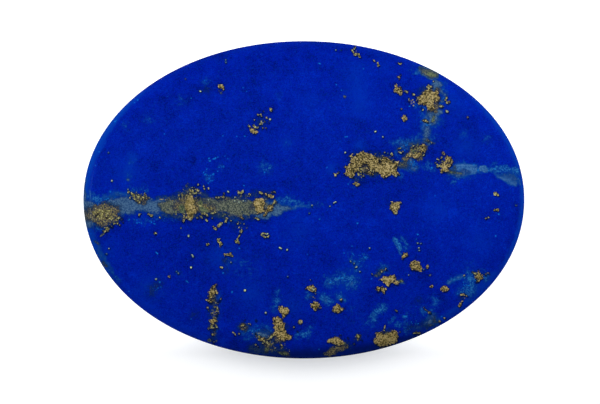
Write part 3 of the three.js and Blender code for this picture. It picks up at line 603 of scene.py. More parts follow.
LIGHT = [
    # lighter blue; the strokes along the rim are painted light, lightening the shoulder where it turns from
    # the light
    (.7, .5, [(-10.6, 5.2, .8, -8.8, 6.2, .8), (-9.7, 2.2, .7), (-10.0, .9, .6),
              (11.6, 1.6, .6, 11.9, .6, .4)]),
    (.55, .8, [(.0, -1.2, 1.0, 2.5, -2.0, 1.0, 2.6, -3.8, .8), (1.8, -1.0, 1.2),
               (8.9, .9, .4, 9.0, -.6, .4)]),
    (.7, .5, [(7.2, -.6, .8, 8.2, -.6, .8), (9.3, 1.0, .5, 9.2, 0, .5), (9.6, -2.3, .5), (10.3, 3.3, .5),
              (-8.0, .6, .6)]),
    (.6, .5, [(4.8, -2.4, .3, 5.2, -3.2, .3), (2.8, -5.3, .7), (3.2, -6.6, .5), (-9.6, -4.4, .5),
              (-8.6, -3.2, .4)]),
    (.5, .7, [(-1.4, 6.1, .5), (.3, 4.6, .8), (3.5, 3.4, .6, 6.0, 4.0, .4)]),
    (.8, .4, [(9.9, -5.2, .5, 9.3, -5.7, .5), (7.4, 5.0, .3, 7.6, 6.4, .3)]),
    (1.5, .5, [(-10.9, -4.2, .3, -9.6, -5.5, .6, -8.2, -6.6, .8, -6.5, -7.5, .6, -4.5, -8.2, .4)]),
    (.5, .5, [(11.9, 2.4, .4, 11.0, 4.0, .8, 9.6, 5.3, .7, 8.6, 6.1, .4),
              (11.8, -.2, .4, 11.8, -2.0, .6, 11.2, -3.3, .4)]),
    (.8, .3, [(10.9, -4.2, .3, 9.8, -5.4, .5, 8.6, -6.35, .4, 7.2, -7.2, .3)]),
    (.8, .35, [(-10.9, -4.3, .2, -8.6, -6.4, .3, -7.2, -7.2, .2), (10.9, 4.0, .5, 8.4, 6.2, .4),
               (12.2, 0, .3)]),
    (.8, 1.3, [(8.0, -.9, 1.6, 10.5, -1.6, 1.6), (9.5, -2.6, 1.2), (3.0, 5.5, 1.4)]),
    (.5, 1.0, [(10.5, 3.2, 1.0), (-6.5, 4.2, 1.2), (-9.0, 3.0, 1.0), (3.0, -1.5, .8), (9.7, -5.4, .4),
               (9.5, 0, 1.0)]),
    (.7, .4, [(-12.0, 2.2, .5, -12.2, .6, .4), (-9.6, -1.3, .3, -8.6, -1.4, .3),
              (12.0, -1.8, .3, 11.4, -3.2, .3)]),
]
DARK = [
    # darker blue; the broad faint stroke over the lower half is painted shade
    (.4, .5, [(-1.0, 8.6, .5, 2.2, 8.6, .5), (-2.6, 5.5, .8), (-3.0, 3.3, .6), (-6.2, 3.0, .8)]),
    (.5, .8, [(-3.0, 7.9, .8, 0, 7.9, 1.0, 1.2, 8.5, .3), (1.6, -6.9, 1.0), (-5.2, 4.6, .5)]),
    (.75, .35, [(-7.6, 4.4, .4, -6.9, 5.4, .5, -6.2, 6.2, .4, -4.9, 6.4, .5),
                (-3.2, 3.9, .5, -2.9, 4.4, .4, -2.1, 5.2, .3)]),
    (.7, .3, [(-5.4, 8.0, .2, -4.2, 8.25, .2), (2.4, 8.55, .25, 3.6, 8.3, .4, 5.0, 7.95, .3),
              (5.2, 6.6, .3)]),
    (.7, .4, [(-.8, 2.4, .2, -.4, 1.4, .2), (9.3, 4.6, .3), (5.9, 5.7, .4, 6.4, 5.0, .2), (-3.9, -1.8, .5),
              (-11.6, -2.4, .3)]),
    (.7, .4, [(7.2, 2.3, .4, 6.0, 2.9, .3), (8.0, 3.4, .4), (.4, 8.3, .4, 1.0, 7.4, .3),
              (-.7, -7.4, .3, .6, -6.9, .5), (2.7, -8.1, .4)]),
    (.9, .3, [(2.15, 1.8, .3, 2.3, 1.2, .2, 4.0, 1.05, .4, 5.4, 1.1, .2),
              (2.5, 2.6, .4, 3.2, 2.8, .3, 5.2, 2.5, .3)]),
    (.8, .4, [(7.0, 2.8, .6, 7.4, 3.1, .4, 8.1, 4.1, .2), (4.9, .1, .2, 4.7, -.4, .2)]),
    (.65, .6, [(10.2, -.6, .7, 10.5, -1.8, .5, 10.7, -3.4, .4),
               (6.1, -3.1, .3, 6.9, -4.4, .6, 6.6, -5.4, .5)]),
    (.9, .35, [(-8.0, -1.1, .3, -7.2, -1.2, .6, -5.0, -1.15, .4, -3.4, -1.4, .5, -2.8, -1.05, .4,
                -1.9, -1.2, .2)]),
    (.9, .3, [(-12.0, -1.5, .4, -11.5, -1.6, .5, -10.4, -1.1, .3), (-2.8, .35, .35, -1.5, .1, .2),
              (-4.7, -3.7, .5, -4.7, -4.3, .3)]),
    (.4, 1.0, [(-7.0, -2.0, 1.5, -5.5, -2.6, 1.5, -3.8, -2.6, 1.0), (-5.2, 1.9, .8),
               (-6.3, -4.6, .8, -6.4, -6.6, .6)]),
    # painted shade: the lower half a little darker, where the dome turns from the light
    (.12, 3.0, [(-7.0, -5.0, 2.0, 3.0, -6.0, 3.0)]),
    (.8, .35, [(-6.5, 6.02, .3), (-7.49, 4.61, .3), (-8.0, 5.66, .4), (-2.78, 6.66, .35),
               (-1.7, 7.73, .3)]),
    (1.0, .2, [(-1.75, 5.55, .12, -1.72, 5.25, .12), (-4.81, 4.6, .25),
               (-6.27, 2.65, .14, -6.25, 2.15, .17)]),
    (.7, .4, [(-7.07, 3.47, .3), (-8.55, 2.07, .4), (-.8, 2.07, .12, -.3, 2.07, .12), (-4.4, 1.7, .3)]),
    (.7, .4, [(-.75, .73, .3), (3.17, 4.32, .3), (6.4, -.55, .4), (9.1, -1.6, .4), (8.7, -2.9, .3),
              (11.3, -3.2, .3)]),
    (.7, .4, [(-6.7, -4.85, .4), (-11.3, -2.0, .5, -10.6, -1.6, .4), (-6.2, -1.3, .6), (-8.2, -3.2, .3)]),
    (.8, .2, [(3.0, 1.3, .2, 3.6, 1.5, .5, 4.2, 1.3, .3), (3.6, 1.75, .2), (7.5, 1.75, .3, 7.8, 2.2, .5)]),
    (.8, .2, [(-2.1, 0, .3, -1.7, -.1, .2), (-3.7, .05, .3, -3.2, .1, .2), (-6.0, .2, .3),
              (-5.6, -1.1, .4)]),
    (.4, 1.2, [(-3.0, -8.0, .8), (1.0, -3.4, .8), (1.2, -6.9, 1.2)]),
    (.7, .4, [(1.0, -7.2, .5), (4.5, -5.6, .3), (7.9, -5.6, .3), (-9.0, -5.3, .4), (-5.0, -8.4, .4),
              (2.7, -2.4, .3)]),
]

SOFT_FIELDS = {
    "tan": TAN, "olive": OLIVE, "slate": SLATE, "pale": PALE, "teal": TEAL, "cool": COOL, "gold": GOLD,
    "brown": BROWN, "dark": DARK, "light": LIGHT, "haze": HAZE, "speckle": SPECKLE, "sparks": SPARKS,
}


# ----------------------------------------------------------------------------------------------------------
# The stone's mesh
# ----------------------------------------------------------------------------------------------------------

SECTORS = 6               # the n-th ring of a disc has n points in each sector
TOP_RINGS = 160
BACK_RINGS = TOP_RINGS // 4
EDGE_STEPS = 4
GIRDLE_STEPS = 4
CORNER_STEPS = 3
CORNER_RADIUS = 0.1       # wear on the two corners of the bevel
BACK_MARGIN = 0.35        # between the bevel and the coarser mesh of the back

# The unevenness of hand polish: height, turns along x and y, and phase of each wave
POLISH_DEPTH = 0.003
POLISH_WAVES = ((1, 0.9, 0.5, 0.3), (1, -0.6, 1.1, 1.9), (1, 1.7, -1.3, 4.1), (1, 0.4, 2.1, 2.6))

# The texture sheet: face and back as flat plans, one above the other, and the side as two strips
SHEET_SCALE = 0.0268      # share of the sheet for each millimetre
PLAN_ACROSS = 0.35        # the middles of the plans
FACE_PLAN_UP = 0.752
BACK_PLAN_UP = 0.252
STRIP_ACROSS = 0.72       # the first strip's left side
STRIP_STEP = 0.12         # from one strip to the next
STRIP_FOOT = 0.03
STRIP_LENGTH = 0.94


def signed_power(value, exponent):
    return np.sign(value) * np.abs(value) ** exponent


def waves(x, y, table):
    """A sum of waves, each with its height, its turns along x and y, and its phase."""
    return sum(height * np.sin(along * x + across * y + phase) for height, along, across, phase in table)


def oval(angle, inset):
    """Points of the oval outline moved in square to it, and the outline's outward direction there."""
    cosine, sine = np.cos(angle), np.sin(angle)
    x = HALF_LENGTH * signed_power(cosine, 2 / FULLNESS)
    y = HALF_WIDTH * signed_power(sine, 2 / FULLNESS)
    out_x = signed_power(cosine, 2 - 2 / FULLNESS) / HALF_LENGTH
    out_y = signed_power(sine, 2 - 2 / FULLNESS) / HALF_WIDTH
    length = np.hypot(out_x, out_y)
    out_x, out_y = out_x / length, out_y / length
    return x - inset * out_x, y - inset * out_y, out_x, out_y


def plan(radius, angle):
    """Where a point of a round stone as long as this one goes in the oval one, seen from above."""
    x, y, _, _ = oval(angle, np.minimum(HALF_LENGTH - radius, SHOULDER_WIDTH))
    share = np.minimum(radius / DOME_HALF_LENGTH, 1)
    return x * share, y * share


def top_height(radius, angle):
    """Height of the dome, and of the shoulder that goes on from the dome's slope to SHOULDER_TILT."""
    x, y, out_x, out_y = oval(angle, SHOULDER_WIDTH)
    start = np.arctan(2 * DOME_RISE / (x * out_x + y * out_y))
    bend = (SHOULDER_WIDTH - EDGE_WIDTH) / (math.sin(SHOULDER_TILT) - np.sin(start))
    turned = np.arcsin(np.sin(start) + np.maximum(radius - DOME_HALF_LENGTH, 0) / bend)
    dome = DOME_BASE + DOME_RISE * (1 - np.minimum(radius / DOME_HALF_LENGTH, 1) ** 2)
    return dome - bend * (np.cos(start) - np.cos(turned))


def hand_polish(x, y):
    """The slight unevenness that hand polishing leaves, never above the true surface."""
    return POLISH_DEPTH * (waves(x, y, POLISH_WAVES) / len(POLISH_WAVES) - 1)


def ring_start(ring):
    """Index of the first point of a disc's ring."""
    return 1 + SECTORS * ring * (ring - 1) // 2 if ring else 0


def ring_disc(rings):
    """A disc of rings about its middle: each point's share of the radius, its angle, and the triangles."""
    share, angle = [np.zeros(1)], [np.zeros(1)]
    for ring in range(1, rings + 1):
        count = SECTORS * ring
        share.append(np.full(count, ring / rings))
        angle.append(np.arange(count) * 2 * math.pi / count)
    triangles = []
    for ring in range(rings):
        triangles += triangles_outside(ring)
    return np.concatenate(share), np.concatenate(angle), np.concatenate(triangles)


def triangles_outside(ring):
    """The triangles between a disc's ring and the next one out, sector by sector."""
    inner_start, inner_count = ring_start(ring), max(SECTORS * ring, 1)
    outer_start, outer_count = ring_start(ring + 1), SECTORS * (ring + 1)
    triangles = []
    for sector in range(SECTORS):
        step = np.arange(ring + 1)
        outer = sector * (ring + 1) + step
        inner = sector * ring + step
        first = outer_start + outer
        second = outer_start + (outer + 1) % outer_count
        near = inner_start + inner % inner_count
        triangles.append(np.stack([first, second, near], 1))
        after = inner_start + (inner[:ring] + 1) % inner_count
        triangles.append(np.stack([near[:ring], second[:ring], after], 1))
    return triangles


def side_rows(top):
    """Insets and heights, row by row, from the shoulder's foot down the girdle and round the bevel."""
    rows = []
    centre = top - EDGE_RADIUS * math.cos(SHOULDER_TILT)
    for step in range(1, EDGE_STEPS + 1):
        tilt = SHOULDER_TILT + (math.pi / 2 - SHOULDER_TILT) * step / EDGE_STEPS
        rows.append((EDGE_RADIUS * (1 - math.sin(tilt)), centre + EDGE_RADIUS * math.cos(tilt)))
    foot = BACK_BEVEL + CORNER_RADIUS * math.tan(math.pi / 8)
    for step in range(1, GIRDLE_STEPS + 1):
        rows.append((0.0, centre + (foot - centre) * step / GIRDLE_STEPS))
    for step in range(1, CORNER_STEPS + 1):
        turn = math.pi / 4 * step / CORNER_STEPS
        rows.append((CORNER_RADIUS * (1 - math.cos(turn)), foot - CORNER_RADIUS * math.sin(turn)))
    for step in range(CORNER_STEPS + 1):
        turn = math.pi / 4 * (1 - step / CORNER_STEPS)
        rows.append((foot - CORNER_RADIUS * math.sin(turn), CORNER_RADIUS * (1 - math.cos(turn))))
    return rows


def join_rings(fine, coarse):
    """Triangles between a ring and one inside it with a quarter of its points, facing down."""
    quarter = np.arange(len(coarse))
    here, beyond = coarse, coarse[(quarter + 1) % len(coarse)]
    edge = [fine[(4 * quarter + step) % len(fine)] for step in range(5)]
    corners = [
        (here, edge[1], edge[0]), (here, edge[2], edge[1]), (here, beyond, edge[2]),
        (beyond, edge[3], edge[2]), (beyond, edge[4], edge[3]),
    ]
    return np.concatenate([np.stack(three, 1) for three in corners])


def flat_plan(points, middle_up):
    """Places on the texture sheet of points seen from above."""
    x, y, _ = points.T
    return np.stack([PLAN_ACROSS + x * SHEET_SCALE, middle_up + y * SHEET_SCALE], 1)


def strip_places(count, across, width):
    """Places on the texture sheet for the two sets of triangles of one row of the side."""
    step, half = np.arange(count), count // 2
    left = STRIP_ACROSS + across + (step // half) * STRIP_STEP
    low = STRIP_FOOT + (step % half) / half * STRIP_LENGTH
    high = STRIP_FOOT + (step % half + 1) / half * STRIP_LENGTH
    low_left, low_right = np.stack([left, low], 1), np.stack([left + width, low], 1)
    high_right, high_left = np.stack([left + width, high], 1), np.stack([left, high], 1)
    return [np.stack([low_left, low_right, high_right], 1), np.stack([low_left, high_right, high_left], 1)]


def build_stone():
    """Points, triangles, and a place on the texture sheet for each corner of each triangle."""
    share, angle, top_faces = ring_disc(TOP_RINGS)
    radius = share * (HALF_LENGTH - EDGE_WIDTH)
    x, y = plan(radius, angle)
    top = np.stack([x, y, top_height(radius, angle) + hand_polish(x, y)], 1)
    points, faces, sheet = [top], [top_faces], [flat_plan(top, FACE_PLAN_UP)[top_faces]]

    count = SECTORS * TOP_RINGS
    step = np.arange(count)
    after = (step + 1) % count
    row = ring_start(TOP_RINGS) + step
    next_index = ring_start(TOP_RINGS + 1)
    across, previous = 0.0, top[row]
    for inset, height in side_rows(top[row, 2]):
        x, y, _, _ = oval(step * 2 * math.pi / count, inset)
        ring = np.stack([x, y, np.broadcast_to(height, count)], 1)
        width = np.linalg.norm(ring - previous, axis=1).mean() * SHEET_SCALE
        new = next_index + step
        faces += [np.stack([row, new, new[after]], 1), np.stack([row, new[after], row[after]], 1)]
        sheet += strip_places(count, across, width)
        points.append(ring)
        row, next_index, previous, across = new, next_index + count, ring, across + width

    share, angle, back_faces = ring_disc(BACK_RINGS)
    x, y = plan(share * (HALF_LENGTH - BACK_BEVEL - BACK_MARGIN), angle)
    points.append(np.stack([x, y, np.zeros_like(x)], 1))
    coarse_rim = next_index + ring_start(BACK_RINGS) + np.arange(SECTORS * BACK_RINGS)
    back = np.concatenate([back_faces[:, ::-1] + next_index, join_rings(row, coarse_rim)])
    all_points = np.concatenate(points)
    faces.append(back)
    sheet.append(flat_plan(all_points, BACK_PLAN_UP)[back])
    return all_points, np.concatenate(faces), np.concatenate(sheet)


# ----------------------------------------------------------------------------------------------------------
# Marks on the mesh
# ----------------------------------------------------------------------------------------------------------

TINY = 1e-9
FAR = 9.0                 # further than anything that is compared
FAR_OUTSIDE = -0.4        # depth that stands for any place well clear of the grains
GRAIN_SEED = 7
FACETS = (4, 7)           # a grain has at least the first number of sides, and fewer than the second
FACET_STRETCH = (0.85, 1.25)
SMALL_GRAIN = 0.12        # narrower grains are widened a little, so that none falls between the points
SMALL_GRAIN_GAIN = 0.1
CHUNK_SIZE = 0.1          # stands for half the width of a patch, and PLAIN_SIZE for that of no grain
PLAIN_SIZE = 0.05
VEIN_LEAN_X = 0.35        # how far a vein moves sideways for each millimetre down
VEIN_LEAN_Y = -0.25

# Small waves that make the edges of marks uneven, as POLISH_WAVES, and how far they move grains and veins
SHAKE_X = ((1, 5.1, 2.3, 0), (1, -3.7, 7.9, 1.1), (0.6, 13.1, -9.7, 0.4))
SHAKE_Y = ((1, -2.9, 4.3, 0.7), (1, 5.3, 6.7, 2.2), (0.6, 12.7, 11.3, 1.9))
GRAIN_SHAKE = 0.012
VEIN_SHAKE = 0.035

# Strokes, outlines, and how far beside each point they are looked up. Those called above are looked up a
# little further up the picture: they light the upper edges of grains and shade what is just below them.
# The light and shade that the fields called above give is painted into the colour.
GRAIN_FIELDS = {
    "pyrite": (PYRITE, CHUNKS, 0.0, 0.0),
    "pyrite_above": (PYRITE, CHUNKS, -0.02, 0.05),
    "glints": (GLINTS, (), 0.0, 0.0),
    "glints_above": (GLINTS, (), -0.01, 0.03),
    "dull": (DULL, (), 0.0, 0.0),
    "gaps": (GAPS, (), 0.0, 0.0),
    "cyan": (CYAN, (), 0.0, 0.0),
}
SIZED_GRAINS = ("pyrite", "dull")

# Painted light along the edge: the paler line is a painted reflection, the darker one painted shade.
# The lines along the edge. A pair says where one begins and where it is full.
PALE_EDGE_WIDTH = 0.45
PALE_EDGE_SIDES = (0.6, 0.9)      # shares of half the length
PALE_EDGE_UP = (-5.5, -2.5)
PALE_EDGE_RIGHT = 0.6     # strength at the right
PALE_EDGE_TOP = 0.14      # strength at the top
PALE_TOP_UP = (0, 4)
DARK_EDGE_WIDTH = 0.42
DARK_EDGE_DOWN = (0.76, 0.96)     # shares of half the width
DARK_EDGE_LEFT = 0.2      # strength at the left
DARK_EDGE_ACROSS = (-3.8, 0.2)
EDGE_DEPTH = 0.5          # how far down the side the lines fade out


def ramp(value, start, end):
    """0 up to start, 1 from end, and smooth between."""
    share = np.clip((value - start) / (end - start), 0, 1)
    return share * share * (3 - 2 * share)


def shaken(x, y, amount):
    """The plan moved about a little, so that strokes have uneven edges."""
    return x + amount * waves(x, y, SHAKE_X), y + amount * waves(x, y, SHAKE_Y)


def offset_from_line(x, y, start, end):
    """How far along a line, from 0 to 1, its nearest point to each point is, and the way from it there."""
    (ax, ay), (bx, by) = start, end
    square = max((bx - ax) ** 2 + (by - ay) ** 2, TINY)
    along = np.clip(((x - ax) * (bx - ax) + (y - ay) * (by - ay)) / square, 0, 1)
    return along, x - ax - along * (bx - ax), y - ay - along * (by - ay)


def faceted_length(random):
    """A measure of length whose circle is an uneven polygon, for grains with flat sides and corners."""
    sides = random.integers(*FACETS)
    angle = random.uniform(0, 2 * math.pi) + np.arange(sides) * 2 * math.pi / sides
    stretch = random.uniform(*FACET_STRETCH, sides)

    def length(dx, dy):
        facets = [(dx * math.cos(a) + dy * math.sin(a)) * k for a, k in zip(angle, stretch)]
        return np.max(facets, axis=0)
    return length


def depth_in_stroke(x, y, stroke, length):
    """How far inside the stroke's edge each point is; negative outside."""
    marks = np.array(stroke, float).reshape(-1, 3)
    if len(marks) == 1:
        marks = np.concatenate([marks, marks])
    best = np.full(len(x), -FAR)
    for (ax, ay, a_width), (bx, by, b_width) in zip(marks[:-1], marks[1:]):
        along, dx, dy = offset_from_line(x, y, (ax, ay), (bx, by))
        half_width = (a_width + along * (b_width - a_width)) / 2
        best = np.maximum(best, half_width - length(dx, dy))
    return best


def depth_in_outline(x, y, outline):
    """How far inside the outline each point is; negative outside."""
    corners = np.array(outline, float).reshape(-1, 2)
    nearest = np.full(len(x), FAR)
    inside = np.zeros(len(x), bool)
    for (ax, ay), (bx, by) in zip(corners, np.roll(corners, -1, axis=0)):
        _, dx, dy = offset_from_line(x, y, (ax, ay), (bx, by))
        nearest = np.minimum(nearest, np.hypot(dx, dy))
        if ay != by:
            inside ^= ((ay > y) != (by > y)) & (x < ax + (y - ay) * (bx - ax) / (by - ay))
    return np.where(inside, nearest, -nearest)


def near_marks(x, y, marks, reach):
    """Indices of the points no further than this from the box round the marks."""
    inside = (x > marks[:, 0].min() - reach) & (x < marks[:, 0].max() + reach)
    inside &= (y > marks[:, 1].min() - reach) & (y < marks[:, 1].max() + reach)
    return np.nonzero(inside)[0]


def grain_field(x, y, strokes, outlines):
    """Depth inside the nearest grain, and half that grain's width, at each point."""
    depth = np.full(len(x), FAR_OUTSIDE)
    size = np.full(len(x), PLAIN_SIZE)
    random = np.random.default_rng(GRAIN_SEED)

    def keep_deeper(near, found, found_size):
        deeper = found > depth[near]
        depth[near[deeper]] = found[deeper]
        size[near[deeper]] = found_size

    for stroke in strokes:
        marks = np.array(stroke, float).reshape(-1, 3)
        widths = marks[:, 2]
        near = near_marks(x, y, marks, widths.max() / 2 - FAR_OUTSIDE)
        gain = max(SMALL_GRAIN - widths.min(), 0) * SMALL_GRAIN_GAIN
        found = depth_in_stroke(x[near], y[near], stroke, faceted_length(random)) + gain
        keep_deeper(near, found, widths.max() / 2)
    for outline in outlines:
        near = near_marks(x, y, np.array(outline, float).reshape(-1, 2), -FAR_OUTSIDE)
        keep_deeper(near, depth_in_outline(x[near], y[near], outline), CHUNK_SIZE)
    return depth, size


def soft_field(x, y, marks):
    """Strength of a kind of soft mark at each point."""
    field = np.zeros(len(x))
    for strength, blur, strokes in marks:
        for stroke in strokes:
            line = np.array(stroke, float).reshape(-1, 3)
            near = near_marks(x, y, line, line[:, 2].max() / 2 + blur)
            depth = depth_in_stroke(x[near], y[near], stroke, np.hypot)
            field[near] = np.maximum(field[near], strength * ramp(depth, -blur, blur))
    return field


def painted_edge_fields(x, y, sunk):
    """Painted reflection, a paler line at the sides and top of the edge; painted shade along the bottom."""
    radius = (np.abs(x / HALF_LENGTH) ** FULLNESS + np.abs(y / HALF_WIDTH) ** FULLNESS) ** (1 / FULLNESS)
    slope = np.hypot(x / HALF_LENGTH ** 2, y / HALF_WIDTH ** 2) / np.maximum(radius, TINY)
    inset = (1 - radius) / np.maximum(slope, TINY)
    sides = ramp(np.abs(x) / HALF_LENGTH, *PALE_EDGE_SIDES) * ramp(y, *PALE_EDGE_UP)
    sides = sides * np.where(x > 0, PALE_EDGE_RIGHT, 1)
    top = PALE_EDGE_TOP * ramp(y, *PALE_TOP_UP)
    across = DARK_EDGE_LEFT + (1 - DARK_EDGE_LEFT) * ramp(x, *DARK_EDGE_ACROSS)
    bottom = ramp(-y / HALF_WIDTH, *DARK_EDGE_DOWN) * across
    light = np.maximum(sides, top) * ramp(inset, PALE_EDGE_WIDTH, 0)
    dark = bottom * np.exp(-np.maximum(inset, 0) / DARK_EDGE_WIDTH)
    above = ramp(sunk, EDGE_DEPTH, 0)
    return light * above, dark * above


def as_pictured(points):
    """Where the camera sees each point, on the plan that the marks are drawn on."""
    x, y, z = points.T
    lift = (CAMERA_HEIGHT / MM - OUTLINE_HEIGHT) / (CAMERA_HEIGHT / MM - z)
    seen_x = CAMERA_X + (x - CAMERA_X) * lift
    seen_y = CAMERA_Y + (y - CAMERA_Y) * lift
    return seen_x * MARK_SCALE + MARK_SHIFT_X, seen_y * MARK_SCALE + MARK_SHIFT_Y


def mark_fields(points):
    """What the material reads at each point. Below the outline nothing is in the picture: the veins go on
    down through the stone, leaning a little, the girdle's grains are those of the face, mirrored at its
    edge, and the back has no single grains."""
    x, y = as_pictured(points)
    sunk = np.maximum(OUTLINE_HEIGHT - points[:, 2], 0)
    back = points[:, 2] < BACK_BEVEL
    out_x, out_y = x / HALF_LENGTH ** 2, y / HALF_WIDTH ** 2
    inward = sunk / np.maximum(np.hypot(out_x, out_y), TINY)
    face_x, face_y = shaken(x - inward * out_x, y - inward * out_y, GRAIN_SHAKE)
    vein_x, vein_y = shaken(x + VEIN_LEAN_X * sunk, y + VEIN_LEAN_Y * sunk, VEIN_SHAKE)

    fields = {"back": back.astype(float)}
    for name, (strokes, outlines, shift_x, shift_y) in GRAIN_FIELDS.items():
        depth, size = grain_field(face_x + shift_x, face_y + shift_y, strokes, outlines)
        fields[name] = np.where(back, FAR_OUTSIDE, depth)
        if name in SIZED_GRAINS:
            fields[name + "_size"] = np.where(back, 0, size)
    # painted reflection and painted shade along the edge
    painted_edge_reflection, painted_edge_shade = painted_edge_fields(points[:, 0], points[:, 1], sunk)
    fields["painted_edge_reflection"] = np.where(back, 0, painted_edge_reflection)
    fields["painted_edge_shade"] = np.where(back, 0, painted_edge_shade)
    for name, marks in SOFT_FIELDS.items():
        fields[name] = soft_field(vein_x, vein_y, marks)
    return fields


def linked_object(name, mesh, material):
    mesh.materials.append(material)
    thing = bpy.data.objects.new(name, mesh)
    bpy.context.scene.collection.objects.link(thing)
    return thing


def polished_lapis():
    points, faces, sheet = build_stone()
    mesh = bpy.data.meshes.new("polished_lapis")
    mesh.from_pydata((points * MM).tolist(), [], faces.tolist())
    mesh.uv_layers.new(name="OFBake").data.foreach_set("uv", sheet.astype(np.float32).ravel())
    mesh.shade_smooth()
    for name, values in mark_fields(points).items():
        attribute = mesh.attributes.new(name, "FLOAT", "POINT")
        attribute.data.foreach_set("value", values.astype(np.float32))
    return linked_object("polished_lapis", mesh, lapis_material())


# ----------------------------------------------------------------------------------------------------------
# Materials
# ----------------------------------------------------------------------------------------------------------

class Graph:
    """Adds nodes to a tree. An input is a plain value or another node's output."""

    def __init__(self, tree):
        self.tree = tree
        tree.nodes.clear()

    def add(self, kind, inputs=(), **settings):
        node = self.tree.nodes.new(kind)
        for name, value in settings.items():
            setattr(node, name, value)
        for socket, value in dict(inputs).items():
            if isinstance(value, bpy.types.NodeSocket):
                self.tree.links.new(value, node.inputs[socket])
            else:
                node.inputs[socket].default_value = value
        return node

    def math(self, operation, first, second=0.0, third=0.0):
        values = {0: first, 1: second, 2: third}
        return self.add("ShaderNodeMath", values, operation=operation).outputs[0]

    def times(self, first, second):
        return self.math("MULTIPLY", first, second)

    def plus(self, total, part, weight):
        """The total and the part times its weight."""
        return self.math("MULTIPLY_ADD", part, weight, total)

    def larger(self, first, second):
        return self.math("MAXIMUM", first, second)

    def smaller(self, first, second):
        return self.math("MINIMUM", first, second)

    def mix(self, share, first, second):
        return self.add("ShaderNodeMix", {0: share, 6: first, 7: second}, data_type="RGBA").outputs[2]

    def tinted(self, colour, tint):
        inputs = {0: 1.0, 6: colour, 7: tint}
        node = self.add("ShaderNodeMix", inputs, data_type="RGBA", blend_type="MULTIPLY")
        return node.outputs[2]

    def vector(self, operation, *inputs, **named):
        sockets = {**dict(enumerate(inputs)), **named}
        return self.add("ShaderNodeVectorMath", sockets, operation=operation).outputs[0]

    def field(self, name):
        return self.add("ShaderNodeAttribute", attribute_name=name).outputs["Fac"]

    def noise(self, place, scale, detail=2.0, roughness=0.5):
        inputs = {"Vector": place, "Scale": scale, "Detail": detail, "Roughness": roughness}
        return self.add("ShaderNodeTexNoise", inputs).outputs["Fac"]

    def uneven(self, place, scale, detail, roughness):
        """A noise spread evenly from -0.5 to 0.5."""
        return self.spread(self.noise(place, scale, detail, roughness), -0.5, 0.5)

    def rise(self, value, low, high):
        """0 up to low, 1 from high, and smooth between."""
        inputs = {"Value": value, "From Min": low, "From Max": high}
        return self.add("ShaderNodeMapRange", inputs, interpolation_type="SMOOTHSTEP").outputs[0]

    def spread(self, value, low, high):
        """A noise from 0 to 1, spread evenly from low to high about its middle."""
        inputs = {"Value": value, "From Min": 0.25, "From Max": 0.75, "To Min": low, "To Max": high}
        return self.add("ShaderNodeMapRange", inputs).outputs[0]

    def blend(self, value, first, steps):
        """The first colour, passing into each further one while the value rises from low to high."""
        colour = first
        for following, low, high in steps:
            colour = self.mix(self.rise(value, low, high), colour, following)
        return colour


# Noises: size per millimetre, detail and roughness
WIDE_CLOUDS = (0.45, 3.0, 0.6)
GREEN_PATCHES = (12.0, 2.0, 0.6)
RAGGED_EDGE = (8.0, 4.0, 0.75)
FINE_TEXTURE = (13.5, 1.5, 0.6)
BACK_PATCHES = (0.4, 3.0, 0.6)
SURFACE_TEXTURE = (20.0, 2.0, 0.5)
BROKEN_EDGE = (4.0, 0.75)     # detail and roughness alone
MOTTLE = (2.0, 0.7)
CHIPS_PER_MM = 12.0
SPARKS_PER_MM = 14.0

# The blue: further noises with their weights, the weights of the light and the dark places, and its
# colours, each with the levels where it begins and where it is full
BLUE_LEVELS = (0.25, 0.71)
BLUE_NOISES = ((1.6, 3.0, 0.65, 0.6), (6.5, 3.0, 0.7, 0.55), (15.0, 2.0, 0.6, 1.15))
LIGHT_WEIGHT = 0.42
DARK_WEIGHT = -0.5
BLUE_DEEP = seen(0, 13, 106)
BLUE_STEPS = ((seen(1, 24, 154), -0.25, 0.5), (seen(1, 41, 188), 0.5, 1.25))
BLUE_GREEN = seen(1, 54, 160)

SOFT_LOOKS = [
    # field; its colour where it thins out, its darker and its lighter colour; how far noise breaks it up,
    # size of that noise per millimetre, and cover
    ("cool", seen(1, 42, 164), seen(1, 34, 152), seen(2, 60, 186), 1.2, 10.0, 0.75),
    # the two edge lines are painted light: a reflection at the sides and top, shade along the bottom
    ("painted_edge_reflection", seen(2, 54, 172), seen(2, 54, 172), seen(4, 72, 184), 0.5, 4.0, 0.8),
    ("painted_edge_shade", seen(1, 20, 98), seen(1, 20, 98), seen(4, 30, 116), 0.4, 3.0, 0.8),
    ("teal", seen(1, 42, 144), seen(3, 54, 142), seen(42, 122, 188), 1.8, 5.5, 0.92),
    ("haze", seen(2, 28, 98), seen(4, 24, 62), seen(58, 82, 92), 1.4, 8.0, 0.85),
    ("pale", seen(8, 62, 146), seen(32, 82, 150), seen(68, 116, 170), 0.8, 5.0, 0.92),
    ("slate", seen(6, 48, 122), seen(36, 68, 112), seen(75, 109, 143), 1.2, 5.0, 0.95),
    ("olive", seen(8, 40, 82), seen(38, 52, 52), seen(116, 121, 102), 1.3, 6.5, 0.95),
    ("tan", seen(8, 34, 64), seen(46, 44, 34), seen(138, 127, 88), 1.7, 7.0, 0.95),
]
SOFT_MOTTLE = (0.36, 0.64)
SOFT_EDGE = (-0.1, 0.45, 2.5)     # where it begins and is full, and how soon a faint mark shows it
SOFT_MIDDLE = (0.25, 0.95, 1.25)
CYAN_SPECK = seen(20, 126, 220)
